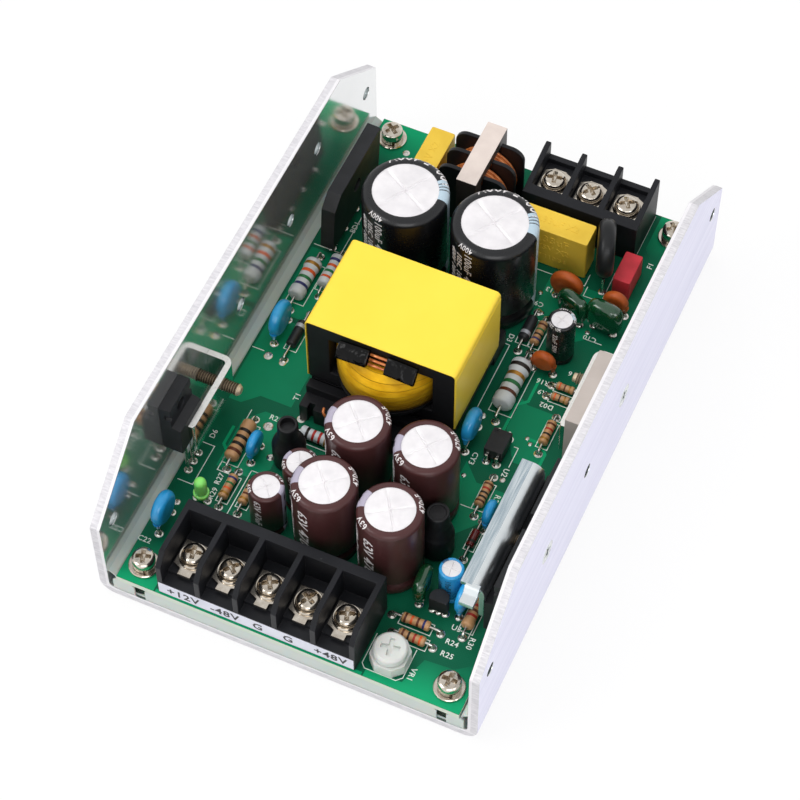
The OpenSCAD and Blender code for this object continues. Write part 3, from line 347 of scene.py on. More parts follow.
@dataclass(frozen=True)
class ShearedFinish(Finish):
    """The cut edge of aluminium sheet, pale and mottled where it was torn."""

    line: str = "BCBABF"
    middle: float = 0.0461
    half: float = 0.00085

    def paint(self, graph: Graph, coords: Socket, color: Socket) -> Socket:
        """Mottles the outer part of the pale edge, where the sheet was torn.

        Args:
            graph: The material's graph.
            coords: Place on the piece.
            color: The metal's colour.

        Returns:
            The colour of the cut edge.
        """
        x, _, z = graph.axes(coords)
        wall = graph.band(graph.math("ABSOLUTE", x), self.middle, self.half)
        low = graph.math("LESS_THAN", z, 0.0026)
        floor = graph.math("MULTIPLY", low, graph.band(z, 0.00125, self.half))
        across = graph.math("MAXIMUM", graph.math("MULTIPLY", wall, graph.math("SUBTRACT", 1.0, low)), floor)
        torn = graph.noise(graph.scaled(coords, (0.5, 2.4, 2.4)), 1100.0, 3.0)
        strokes = graph.math("MULTIPLY", graph.math("SUBTRACT", torn, 0.2), 1.6, clamp=True)
        return graph.mix(graph.math("MULTIPLY", strokes, across), color, tint(self.line))


@dataclass(frozen=True)
class DottedFinish(Finish):
    """The cut edge of a pressed strap, marked by rows of fine dots."""

    dot: str = "AEAEB1"
    pitch: float = 1500.0

    def paint(self, graph: Graph, coords: Socket, color: Socket) -> Socket:
        """Sets the dots in rows."""
        rows = {"Vector": coords, "Scale": self.pitch, "Randomness": 0.25}
        cells = graph.node("ShaderNodeTexVoronoi", rows)
        near = graph.math("LESS_THAN", cells.outputs["Distance"], 0.3)
        return graph.mix(graph.math("MULTIPLY", near, 0.6), color, tint(self.dot))


@dataclass(frozen=True)
class FadeFinish(Finish):
    """Resist with painted sheen, lightest at the board's ends and fading towards its middle."""

    deep: str = "0B5E43"
    start: float = 0.06
    reach: float = 0.0115

    def paint(self, graph: Graph, coords: Socket, color: Socket) -> Socket:
        """Fades the painted sheen along the board."""
        along = graph.math("SUBTRACT", graph.math("ABSOLUTE", graph.axes(coords)[1]), self.start)
        return graph.mix(graph.math("DIVIDE", along, self.reach, clamp=True), tint(self.deep), color)


@dataclass(frozen=True)
class CoilFinish(Finish):
    """Varnished tape with painted shade that darkens down the coil, and a dark line where one turn laps the
    next.
    """

    # Colour of the painted shade on the lower turns and of the lap lines.
    shade_and_seam: str = "4B3712"
    low: float = 0.0218
    rise: float = 0.0112
    rows: float = 7.0

    def paint(self, graph: Graph, coords: Socket, color: Socket) -> Socket:
        """Paints shade on the lower turns and darkens the laps.

        Args:
            graph: The material's graph.
            coords: Place on the piece.
            color: The tape's colour.

        Returns:
            The stained colour.
        """
        share = graph.math("DIVIDE", graph.math("SUBTRACT", graph.axes(coords)[2], self.low), self.rise)
        # Painted shade: the tape darkens towards the bottom of the coil.
        deep = graph.math("SUBTRACT", 1.0, graph.math("MULTIPLY", share, 1.3), clamp=True)
        seam = graph.math("GREATER_THAN", graph.math("FRACT", graph.math("MULTIPLY", share, self.rows)), 0.84)
        dark = graph.math("MAXIMUM", deep, graph.math("MULTIPLY", seam, 0.4))
        return graph.mix(dark, color, tint(self.shade_and_seam))


class Paint(Enum):
    """The finishes of the power supply."""

    SATIN = Finish(
        "satin_aluminium", "E9E8FB", "D9D8EE", 0.5, 0.4, 0.12, 900, 0.5, 2600, 0.14, stretch=(1, 0.03, 1)
    )
    POLISHED = Finish("polished_aluminium", "F0F1F2", "E6E8E9", 0.9, 0.12, 0.05, 60, 0.5, 1800, 0.02)
    SHEARED = ShearedFinish("sheared_aluminium", "E6E4E7", "DEDCE0", 0.2, 0.5, 0.1, 400, 0.5, 2400, 0.3)
    FILM = Finish("pale_film", "C3CCC7", "B6C0BA", 0, 0.4, 0.06, 80, 0.5, subsurface=0.3)
    BOARD = BoardFinish(
        "board_resist", "0B5E43", "084F38", 0, 0.36, 0.06, 60, 0.6, 5000, 0.04, specular=0.1, edge="C9D3C4"
    )
    COPPER_FIELD = Finish("resist_over_copper", "0E8059", "0B724F", *RESIST, specular=0.1)
    # Painted sheen: lighter resist near the board's ends.
    RESIST_SHEEN = FadeFinish("resist_painted_sheen", "109C69", "0E8E5F", *RESIST, specular=0.1)
    TRACK = Finish("resist_over_track", "109C69", "0E8E5F", *RESIST, specular=0.1)
    LEGEND = Finish("white_legend", "E4EAE4", "CBD6CC", 0, 0.55, 0.05, 500, 0.6)
    TIN = Finish("tinned_copper", "E0DED8", "C0BDB5", 1, 0.24, 0.14, 900, 0.7, 2400, 0.15)
    NICKEL = Finish("nickel_plate", "DDD5C9", "BAAFA1", 1, 0.18, 0.12, 500, 0.7, 2200, 0.12)
    ZINC = Finish("zinc_plate", "DCE6EB", "A9BAC5", 1, 0.26, 0.1, 1700, 0.9, 3600, 0.2, stretch=(1, 0.06, 1))
    # Brighter copy of the zinc for the bar's bend and lip: a painted highlight.
    ZINC_HIGHLIGHT = Finish("zinc_painted_highlight", "F0F5F7", "E2EAEE", 1, 0.32, 0.06, 300, 0.5, 3600, 0.1)
    RECESS = Finish("recess_shade", "55565A", "3A3B3E", 0.8, 0.4, 0.1, 900, 0.7)
    THREAD = Finish("plated_thread", "D6C4A8", "B09D82", 0.5, 0.36, 0.1, 900, 0.6)
    # Painted shade in the thread grooves.
    GROOVE_SHADE = Finish("painted_groove_shade", "54493C", "40372D", 0.4, 0.5, 0.1, 900, 0.6)
    STRAP = Finish("polished_strap", "D8DCDC", "C6CBCC", 1, 0.1, 0.05, 200, 0.5, 1800, 0.02)
    STEEL_EDGE = DottedFinish("strap_edge", "DEDEDB", "D0D0CD", 0.3, 0.45, 0.1, 1400, 0.6, 2600, 0.3)
    TERMINAL = Finish(
        "terminal_plastic", "1A1B1F", "131417", 0, 0.45, 0.1, 200, 0.6, 3600, 0.1, specular=0.25, specks=0.03
    )
    LABEL = Finish("paper_label", "DCDDE8", "CFD0DE", 0, 0.6, 0.05, 300, 0.5, 5200, 0.1)
    LABEL_INK = Finish("label_ink", "1D1D24", "2A2A33", 0, 0.5)
    FERRITE = Finish("dark_ferrite", "1A1A1D", "121214", 0, 0.5, 0.14, 180, 0.7, 2600, 0.25, specular=0.3)
    # Painted reflection of the sky on the choke frame's upper face.
    FERRITE_SKY_REFLECTION = Finish("ferrite_painted_reflection", "DACDC5", "CDBFB8", 0, 0.5, 0.1, 300, 0.6, 2600, 0.15)
    CHOKE_SIDE = Finish("choke_ferrite", "3B3532", "2C2826", 0, 0.45, 0.12, 300, 0.6, 2600, 0.2)
    BOBBIN = Finish(
        "bobbin_plastic", "17171A", "101012", 0, 0.38, 0.1, 200, 0.5, 3000, 0.08, specular=0.3, specks=0.03
    )
    TAPE = Finish("core_tape", "F9D742", "F3CE36", 0, 0.34, 0.08, 45, 0.7, 240, 0.16, 0.0002, coat=0.15)
    COIL = CoilFinish(
        "coil_wrap", "F8C222", "D2960E", 0, 0.42, 0.1, 240, 0.8, 420, 0.4, 0.0003, (1, 1, 3), specular=0.15
    )
    SLEEVING = Finish(
        "black_sleeving", "070708", "040405", 0, 0.13, 0.06, 240, 0.6, 420, 0.7, 0.0006, (0.8, 1, 1),
        specular=0.2,
    )
    SHRINK = Finish("shrink_sleeve", "18181A", "111113", 0, 0.42, 0.1, 240, 0.6, 1300, 0.2, specular=0.35)
    COPPER = Finish("enamelled_copper", "E08B50", "B8602C", 0.35, 0.24, 0.1, 900, 0.8, 2600, 0.1, coat=0.4)
    CAN_TOP = Finish("bare_can_top", "ECE9EB", "DAD7DA", 0.4, 0.42, 0.12, 260, 0.7, 1500, 0.15)
    BUNG = Finish("rubber_bung", "202022", "161618", 0, 0.7)
    BLACK_CAN = SleeveFinish(
        "black_sleeve", "121316", "0C0D10", 0, 0.28, 0.06, 120, 0.5, 1800, 0.05, specular=0.45, coat=0.1,
        stripe="AFC3D0", lines=3,
    )
    BROWN_CAN = SleeveFinish(
        "brown_sleeve", "492A2A", "3D2223", 0, 0.32, 0.08, 120, 0.5, 1800, 0.06, specular=0.3, coat=0.1,
        stripe="A9A3B4",
    )
    BLUE_CAN = SleeveFinish(
        "blue_sleeve", "2F9BD6", "2488C2", 0, 0.28, 0.06, 120, 0.5, 1800, 0.05, coat=0.2, stripe="1D4F78",
        ink="D8E4EC",
    )
    WHITE_INK = Finish("sleeve_print", "E6E2E2", "CFC9CA", 0, 0.5, 0.05, 900, 0.5)
    DARK_INK = Finish("dark_print", "1A2A3A", "23364A", 0, 0.5)
    YELLOW_BOX = Finish("yellow_box", "EFC944", "E2B936", 0, 0.48, 0.1, 160, 0.7, 2800, 0.12)
    RED_BOX = Finish("red_box", "C6303C", "AE2630", 0, 0.5, 0.1, 300, 0.7, 2400, 0.2)
    BLACK_DISC = Finish("black_disc", "1A1B1D", "131415", 0, 0.36, 0.12, 240, 0.6, 900, 0.25, specular=0.3)
    BLUE_DISC = Finish("blue_disc", "2B9FDC", "1F8BC8", 0, 0.22, 0.08, 300, 0.6, 700, 0.12, coat=0.3)
    ORANGE_DISC = Finish("orange_disc", "B5561F", "974315", 0, 0.45, 0.1, 400, 0.7, 1600, 0.18)
    GREEN_DIP = Finish("green_dip", "0B4323", "07331A", 0, 0.12, 0.06, 260, 0.6, 500, 0.12, 0.0001, coat=1)
    MOULD = Finish("moulded_package", "1D1E21", "151618", 0, 0.5, 0.12, 300, 0.6, 4200, 0.2, specular=0.35)
    COVER = Finish("silicone_cover", "BAB0AA", "ADA39D", 0, 0.55, 0.06, 160, 0.6, 3600, 0.1)
    GREY_BODY = Finish("grey_resistor", "C4C9CC", "AFB5B9", 0, 0.4, 0.08, 500, 0.5, 2000, 0.1)
    TAN_BODY = Finish("tan_resistor", "BC8F63", "A67A50", 0, 0.34, 0.08, 500, 0.5, 2000, 0.1, coat=0.2)
    DIODE = Finish("diode_body", "222326", "18191B", 0, 0.4)
    RED_GLASS = Finish("red_glass", "5E1714", "40100E", 0, 0.12, 0.04, coat=0.6)
    BLACK = Finish("black_band", "1E1712", "14100C")
    BROWN = Finish("brown_band", "5A2A14", "46200F")
    RED = Finish("red_band", "A8261C", "8C1D15")
    ORANGE = Finish("orange_band", "DB5A22", "C04C1A")
    GREEN = Finish("green_band", "1F6B3A", "17562D")
    NAVY = Finish("navy_band", "2C2F66", "22254F")
    GOLD = Finish("gold_band", "B48238", "8F6526", 0.6, 0.35)
    SILVER = Finish("silver_band", "B9BCC2", "A2A5AB", 0.4, 0.4)
    LAMP = Finish("lamp_lens", "A0FF82", "84F06A", 0, 0.16, 0.03, 200, 0.4, coat=0.4, subsurface=0.4)
    TRIM = Finish("trimmer_plastic", "D6D8D4", "C8CBC6", 0, 0.36, 0.06, 260, 0.5, 2600, 0.06, subsurface=0.15)


def soften(bm: bmesh.types.BMesh, width: float, angle: float = 30.0) -> None:
    """Rounds the sharp edges of a mesh.

    Args:
        bm: The mesh, in metres.
        width: Width of the rounding in millimetres.
        angle: Edges that turn by more than this many degrees are rounded.
    """
    limit = radians(angle)
    edges = [e for e in bm.edges if len(e.link_faces) == 2 and e.calc_face_angle(0.0) > limit]
    bmesh.ops.bevel(
        bm, geom=edges, offset=width * MM, segments=2, profile=0.6, affect="EDGES",
        clamp_overlap=False, loop_slide=False,
    )


def joined_areas(mesh: bpy.types.Mesh) -> list[float]:
    """Area of each face together with all that lie flat beside it.

    Args:
        mesh: The mesh.

    Returns:
        One area for each face.
    """
    leader = list(range(len(mesh.polygons)))

    def first(i: int) -> int:
        while leader[i] != i:
            leader[i] = leader[leader[i]]
            i = leader[i]
        return i

    sides: dict[tuple[int, int], list[int]] = {}
    for polygon in mesh.polygons:
        for key in polygon.edge_keys:
            sides.setdefault(key, []).append(polygon.index)
    facing = [p.normal.copy() for p in mesh.polygons]
    for pair in sides.values():
        if len(pair) == 2 and facing[pair[0]].dot(facing[pair[1]]) > FLAT:
            leader[first(pair[0])] = first(pair[1])
    total = [0.0] * len(leader)
    for polygon in mesh.polygons:
        total[first(polygon.index)] += polygon.area
    return [total[first(i)] for i in range(len(leader))]


def weigh_normals(mesh: bpy.types.Mesh, limit: float) -> None:
    """Points the shading normals along the larger faces, so that flat faces stay flat beside rounded edges.

    Args:
        mesh: The mesh.
        limit: Faces that turn by more than this many degrees aren't joined.
    """
    around: list[list[int]] = [[] for _ in mesh.vertices]
    for polygon in mesh.polygons:
        for v in polygon.vertices:
            around[v].append(polygon.index)
    facing = [p.normal.copy() for p in mesh.polygons]
    areas = joined_areas(mesh)
    cut = cos(radians(limit))
    normals = []
    for polygon in mesh.polygons:
        own = facing[polygon.index]
        for v in polygon.vertices:
            total = Vector()
            for i in around[v]:
                if facing[i].dot(own) > cut:
                    total += facing[i] * areas[i]
            normals.append(total.normalized())
    mesh.normals_split_custom_set(normals)


def linked(name: str, data: bpy.types.ID) -> bpy.types.Object:
    """Puts a new object into the scene."""
    made = bpy.data.objects.new(name, data)
    bpy.context.scene.collection.objects.link(made)
    return made


def settle(
    bm: bmesh.types.BMesh,
    name: str,
    paints: Sequence[Paint],
    replaces: Sequence[str] = (),
    slot: str = "",
    body: str = BODY,
    place: Matrix | None = None,
    sharp: float = 36.0,
    weighted: bool = False,
) -> None:
    """Turns a mesh into a dressed piece that rides on the part.

    Args:
        bm: The mesh, in metres. It is freed.
        name: Name of the piece.
        paints: Finishes by face number.
        replaces: Nodes that the piece stands for.
        slot: Slot of the record; not used.
        body: Body that carries it.
        place: Where the piece's own origin goes.
        sharp: Angle in degrees above which an edge stays sharp.
        weighted: Whether the shading follows the larger faces.
    """
    mesh = bpy.data.meshes.new(name)
    bm.to_mesh(mesh)
    bm.free()
    for paint in paints:
        mesh.materials.append(paint.value.make())
    mesh.polygons.foreach_set("use_smooth", [True] * len(mesh.polygons))
    mesh.set_sharp_from_angle(angle=radians(sharp))
    if weighted:
        weigh_normals(mesh, sharp)
    piece = linked(name, mesh)
    if place is not None:
        piece.matrix_world = place
    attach(piece, body)
    if replaces:
        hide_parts(*replaces)
    LOG.info("built %s with %d faces", name, len(mesh.polygons))


def sort_faces(bm: bmesh.types.BMesh, mark: Marker) -> None:
    """Gives each face the finish number of its middle, in millimetres, and its normal."""
    bm.normal_update()
    for face in bm.faces:
        face.material_index = mark(face.calc_center_median() / MM, face.normal)


def below_board(middle: Vector, normal: Vector) -> int:
    """Gives the leads, below the board's upper face, the second finish."""
    return 1 if middle.z < TOP - SINK else 0


def dressed_node(
    node: str,
    paints: Sequence[Paint],
    slot: str,
    bevel: float = 0.2,
    mark: Marker | None = None,
    body: str = BODY,
) -> None:
    """Stands a softened copy of a node in its place.

    Args:
        node: The node.
        paints: Finishes by number.
        slot: The node's slot in the record.
        bevel: Width of the rounded edges in millimetres.
        mark: Gives the finish number of a face from its middle, in millimetres, and its normal.
        body: Body that carries it.
    """
    bm = bmesh.new()
    bm.from_mesh(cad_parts[node].data)
    bmesh.ops.remove_doubles(bm, verts=bm.verts, dist=0.000002)
    bmesh.ops.dissolve_limit(bm, angle_limit=radians(0.4), verts=bm.verts, edges=bm.edges)
    if bevel:
        soften(bm, bevel)
    sort_faces(bm, mark or (lambda middle, normal: 0))
    settle(bm, f"dressed.{node}", paints, [node], slot, body, weighted=True)


def glyphs(text: str, size: float, bold: float = 0.0) -> tuple[list[Vector], list[list[int]]]:
    """Gives the thin solid of a word, centred on the origin.

    Args:
        text: The word.
        size: Letter size in millimetres.
        bold: How much the strokes are thickened, as a share of the size.

    Returns:
        Points in millimetres and faces.
    """
    curve = bpy.data.curves.new("word", "FONT")
    curve.body = text
    curve.size = size
    curve.offset = bold * size
    curve.space_character = 1.0 + 5.0 * bold
    curve.align_x, curve.align_y = "CENTER", "CENTER"
    curve.resolution_u = 2
    curve.extrude = INK_T / 2
    curve.fill_mode = "BOTH"
    holder = bpy.data.objects.new("word", curve)
    mesh = bpy.data.meshes.new_from_object(holder)
    points = [v.co.copy() for v in mesh.vertices]
    faces = [list(p.vertices) for p in mesh.polygons]
    bpy.data.objects.remove(holder)
    bpy.data.curves.remove(curve)
    bpy.data.meshes.remove(mesh)
    return points, faces


def circle(radius: float, steps: int, height: float = 0.0) -> list[Vector]:
    """Points of a level circle."""
    turn = 2 * pi / steps
    return [Vector((radius * cos(i * turn), radius * sin(i * turn), height)) for i in range(steps)]


def headings(path: Sequence[Vector]) -> list[Vector]:
    """Direction of a path at each of its points."""
    ends = zip([path[0], *path[:-1]], [*path[1:], path[-1]])
    return [(after - before).normalized() for before, after in ends]


def rounded_path(points: Sequence[Vector], radius: float, steps: int = 5) -> list[Vector]:
    """Rounds the corners of a path.

    Args:
        points: The path's corners.
        radius: How far before and after a corner the bend reaches.
        steps: Points in each bend.

    Returns:
        The smooth path.
    """
    path = [points[0]]
    for before, corner, after in zip(points, points[1:], points[2:]):
        a = corner + (before - corner).normalized() * radius
        b = corner + (after - corner).normalized() * radius
        for i in range(steps + 1):
            t = i / steps
            path.append(a * (1 - t) ** 2 + corner * 2 * t * (1 - t) + b * t * t)
    path.append(points[-1])
    return path


class Shape:
    """Faces of one piece, gathered in millimetres with a finish number for each."""

    def __init__(self) -> None:
        """Starts with no faces."""
        self.points: list[Vector] = []
        self.faces: list[list[int]] = []
        self.marks: list[int] = []

    def add(self, points: Sequence[Vector], faces: Sequence[Sequence[int]], mark: int = 0) -> None:
        """Adds points and faces that count from the first of them."""
        base = len(self.points)
        self.points.extend(points)
        self.faces.extend([base + i for i in f] for f in faces)
        self.marks.extend([mark] * len(faces))

    def loft(
        self,
        rings: Sequence[Sequence[Vector]],
        marks: Sequence[int] | int = 0,
        closed: bool = False,
        caps: tuple[bool, bool] = (False, False),
    ) -> None:
        """Joins rings of equal counts with faces.

        Args:
            rings: The rings, in order.
            marks: Finish number, or one for each gap between rings.
            closed: Whether the last ring joins the first.
            caps: Whether the first and the last ring are filled.
        """
        n, count = len(rings[0]), len(rings)
        for i in range(count if closed else count - 1):
            j = (i + 1) % count
            quads = [(k, (k + 1) % n, n + (k + 1) % n, n + k) for k in range(n)]
            self.add([*rings[i], *rings[j]], quads, marks if isinstance(marks, int) else marks[i])
        for wanted, ring, mark in zip(caps, (rings[0], rings[-1]), (0, -1)):
            if wanted:
                self.add(ring, [range(n)], marks if isinstance(marks, int) else marks[mark])

    def lathe(
        self,
        profile: Sequence[Spot],
        place: Matrix = HERE,
        marks: Sequence[int] | int = 0,
        steps: int = 40,
    ) -> None:
        """Turns a profile of radii and heights round the Z axis of a place."""
        self.loft([[place @ p for p in circle(max(r, 1e-5), steps, z)] for r, z in profile], marks)

    def slab(
        self, outline: Sequence[Spot], low: float, high: float, place: Matrix = HERE, mark: int = 0
    ) -> None:
        """Gives a flat outline a height."""
        rings = [[place @ Vector((x, y, z)) for x, y in outline] for z in (low, high)]
        self.loft(rings, mark, caps=(True, True))

    def tube(self, path: Sequence[Vector], radius: float | Sequence[float], mark: int = 0) -> None:
        """Draws a round wire along a path.

        Args:
            path: Points along its middle.
            radius: Its radius, or one for each point.
            mark: Finish number.
        """
        across, sides = Vector((0.31, 0.87, 0.39)), 10
        turns = [2 * pi * k / sides for k in range(sides)]
        rings = []
        for i, (point, ahead) in enumerate(zip(path, headings(path))):
            across = (across - ahead * across.dot(ahead)).normalized()
            side = ahead.cross(across)
            r = radius if isinstance(radius, (int, float)) else radius[i]
            rings.append([point + r * (across * cos(t) + side * sin(t)) for t in turns])
        self.loft(rings, mark, caps=(True, True))

    def word(self, text: str, size: float, place: Matrix, mark: int = 0, bold: float = 0.0) -> None:
        """Lays a flat word on the XY plane of a place."""
        points, faces = glyphs(text, size, bold)
        self.add([place @ p for p in points], faces, mark)

    def line(self, points: Sequence[Spot], width: float, high: float, mark: int = 0) -> None:
        """Draws a thin level strip with mitred corners through places on the board.

        Args:
            points: The places. A path that ends where it starts is closed.
            width: The strip's width.
            high: Height of its upper face.
            mark: Finish number.
        """
        places = [Vector((x, y, 0.0)) for x, y in points]
        closed = (places[0] - places[-1]).length < 1e-6
        if closed:
            places.pop()
        rings, count = [], len(places)
        for i, place in enumerate(places):
            before = place - places[i - 1] if closed or i else places[1] - place
            after = places[(i + 1) % count] - place if closed or i < count - 1 else before
            before, after = before.normalized(), after.normalized()
            along = (before + after).normalized()
            side = Vector((-along.y, along.x, 0.0)) * width / 2 / max(along.dot(after), 0.4)
            end = after * width / 2 * (0 if closed or 0 < i < count - 1 else (1 if i else -1))
            corners = ((-1, TOP - SINK), (1, TOP - SINK), (1, high), (-1, high))
            rings.append([place + end + s * side + z * UP for s, z in corners])
        self.loft(rings, mark, closed=closed, caps=(not closed, not closed))

    def piece(
        self,
        name: str,
        paints: Sequence[Paint],
        slot: str,
        *replaces: str,
        bevel: float = 0.0,
        mark: Marker | None = None,
        **more: object,
    ) -> None:
        """Builds the piece.

        Args:
            name: Its name.
            paints: Finishes by number.
            slot: Slot of the record, passed on to settle.
            replaces: Nodes that it stands for.
            bevel: Width of rounded edges in millimetres.
            mark: Gives the finish number of a face from its middle, in millimetres, and its normal.
            more: What settle takes besides.
        """
        bm = bmesh.new()
        verts = [bm.verts.new(p * MM) for p in self.points]
        for indices, kind in zip(self.faces, self.marks):
            bm.faces.new([verts[i] for i in indices]).material_index = kind
        bmesh.ops.remove_doubles(bm, verts=bm.verts, dist=0.0000005)
        bmesh.ops.recalc_face_normals(bm, faces=bm.faces)
        if bevel:
            soften(bm, bevel)
        if mark:
            sort_faces(bm, mark)
        settle(bm, name, paints, replaces, slot, weighted=bevel > 0, **more)


def at(x: float, y: float, z: float = TOP, turn: float = 0.0) -> Matrix:
    """A place in millimetres, turned by degrees about the upright axis."""
    return Matrix.Translation((x, y, z)) @ Matrix.Rotation(radians(turn), 4, "Z")


def facing_front(x: float, y: float, z: float) -> Matrix:
    """A place in millimetres whose own upright axis looks to the front."""
    return Matrix.Translation((x, y, z)) @ Matrix.Rotation(pi / 2, 4, "X")


def metres(place: Matrix) -> Matrix:
    """The same place with its position in metres."""
    scaled = place.copy()
    scaled.translation = place.translation * MM
    return scaled


def twin(x: float, y: float, turn: float, pitch: float) -> list[Spot]:
    """Two places half a pitch each way along a turned line."""
    c, s = cos(radians(turn)) * pitch / 2, sin(radians(turn)) * pitch / 2
    return [(x - c, y - s), (x + c, y + s)]


@dataclass
class Channel:
    """The bent aluminium channel and the film on its floor."""

    bevel: float = 0.22
    film_t: float = 0.4
    film_half: float = 72.3
    flaps: tuple[Spot, ...] = ((-43.5, -38.1), (-35.4, 36.9), (39.3, 43.5))
    plain_holes: tuple[float, ...] = (-67.0, 67.0, 24.0, -3.0, -12.0)
    sunk_holes: tuple[float, ...] = (-24.8, 10.2, -35.2)
    high_hole: Spot = (39.7, 33.0)
    plain_r: float = 1.95
    sunk_r: float = 3.2

    def face_kind(self, middle: Vector, normal: Vector) -> int:
        """Sorts a face: 0 outer, 1 polished inner, 2 sheared edge, 3 inside of a hole."""
        holes = [(y, HOLE_Z, self.plain_r) for y in self.plain_holes] + [(*self.high_hole, self.plain_r)]
        holes += [(y, HOLE_Z, self.sunk_r) for y in self.sunk_holes]
        if abs(normal.x) < 0.8 and any(hypot(middle.y - y, middle.z - z) < r for y, z, r in holes):
            return 3
        if abs(normal.y) > 0.4 or (normal.z > 0.25 and middle.z > 12.0):
            return 2
        inward = normal.x * middle.x < -0.01 and abs(middle.x) < INNER_X + 0.4
        on_floor = normal.z > 0.3 and middle.z < 8.0
        return 1 if inward or on_floor else 0

    def film_edges(self) -> None:
        """Folds the film up beside the board and out to the walls, and stands its flaps at the front."""
        shape = Shape()
        path = [Vector((x, 0.0, z)) for x, z in ((41.4, 2.7), (42.75, 2.7), (42.75, 7.3), (44.4, 8.6))]
        path = rounded_path(path, 0.55)
        for side in (-1, 1):
            rings = []
            for point, ahead in zip(path, headings(path)):
                off = Vector((ahead.z, 0.0, -ahead.x)) * self.film_t / 2
                corners = [(point - off, -1), (point + off, -1), (point + off, 1), (point - off, 1)]
                rings.append([Vector((side * p.x, s * self.film_half, p.z)) for p, s in corners])
            for p in rings[-1]:
                p.x = side * (INNER_X - 0.01)
            shape.loft(rings, caps=(True, True))
        low, high, cut = 2.6, 6.55, 0.6
        front = facing_front(0.0, -self.film_half - 0.25, 0.0)
        for start, end in self.flaps:
            outline = [(start, low), (end, low), (end, high - cut), (end - cut, high)]
            outline += [(start + cut, high), (start, high - cut)]
            shape.slab(outline, -self.film_t / 2, self.film_t / 2, front)
        shape.piece("film_edges", [Paint.FILM], "insulation_film", sharp=40.0)

    def build(self) -> None:
        """Builds the channel and the film."""
        paints = [Paint.SATIN, Paint.POLISHED, Paint.SHEARED, Paint.STRAP]
        dressed_node("chassis", paints, "chassis_aluminium", self.bevel, self.face_kind)
        dressed_node("insulation_sheet", [Paint.FILM], "insulation_film", 0.0)
        self.film_edges()
        dressed_node("standoffs", [Paint.NICKEL], "pillar_metal", 0.25)


@dataclass
class PanScrew:
    """Round-headed screw with a cross recess and a turned thread."""

    radius: float = 2.7
    height: float = 2.4
    arm: float = 1.85
    arm_half: float = 0.52
    thread_r: float = 1.5
    pitch: float = 0.5
    slot: float = 0.0
    rim: bool = False

    def recess_radius(self, angle: float) -> float:
        """Distance from the middle to the recess's outline at an angle."""
        local = (angle + pi / 4) % (pi / 2) - pi / 4
        if abs(tan(local)) <= self.arm_half / self.arm:
            return self.arm / cos(local)
        return self.arm_half / abs(sin(local))

    def angles(self) -> list[float]:
        """Angles that meet the recess's corners."""
        corner = atan2(self.arm_half, self.arm)
        half = [0.13, 0.15, corner, corner + 0.02, 0.4, 0.55]
        fan = [-pi / 4, *(-a for a in reversed(half)), 0.0, *half]
        return [q * pi / 2 + a for q in range(4) for a in fan]

    def crown(self, r: float) -> float:
        """Height of the head's top at a radius."""
        share = r / self.radius
        return self.height * (1.0 - 0.14 * share**2 - 0.3 * max(0.0, share - 0.72) ** 2 / 0.078 * 0.45)

    def draw(self, shape: Shape, place: Matrix, length: float, mark: int = 0) -> None:
        """Draws one screw with its head's underside at the place."""
        turns = self.angles()

        def ring(radius: Curve, z: Curve, slotted: bool = False) -> list[Vector]:
            points = []
            for a in turns:
                r, dip = radius(a), self.slot if slotted and abs(sin(a)) < 0.135 else 0.0
                points.append(place @ Vector((r * cos(a), r * sin(a), z(r) - dip)))
            return points

        low = self.height * 0.42
        rings = [
            ring(lambda a: self.thread_r, lambda r: 0.0),
            ring(lambda a: self.radius - 0.12, lambda r: 0.0),
            ring(lambda a: self.radius, lambda r: 0.15),
            ring(lambda a: self.radius, lambda r: low * 1.5),
        ]
        for share in (0.97, 0.9, 0.8, 0.68):
            rings.append(ring(lambda a, s=share: self.radius * s, self.crown, True))
        rings.append(ring(lambda a: self.recess_radius(a) * 1.06, self.crown, True))
        rings.append(ring(self.recess_radius, lambda r: self.crown(r) - 0.08))
        rings.append(ring(lambda a: self.recess_radius(a) * 0.62, lambda r: low))
        rings.append(ring(lambda a: TIP, lambda r: low - 0.35))
        shape.loft(rings, mark)
        if self.rim:
            cup = (
                (-0.05, 0.0), (0.65, 0.0), (0.7, 0.4), (0.5, 0.75), (0.3, 0.7), (0.2, 0.3), (-0.05, 0.2),
                (-0.05, 0.0),
            )
            shape.lathe([(self.radius + r, z) for r, z in cup], place, mark)
        half = self.pitch / 2
        profile = [(self.thread_r - 0.22 * (i % 2), -i * half) for i in range(int(length / half))]
        profile.append((TIP, -length))
        shape.lathe(profile, place, mark, 24)


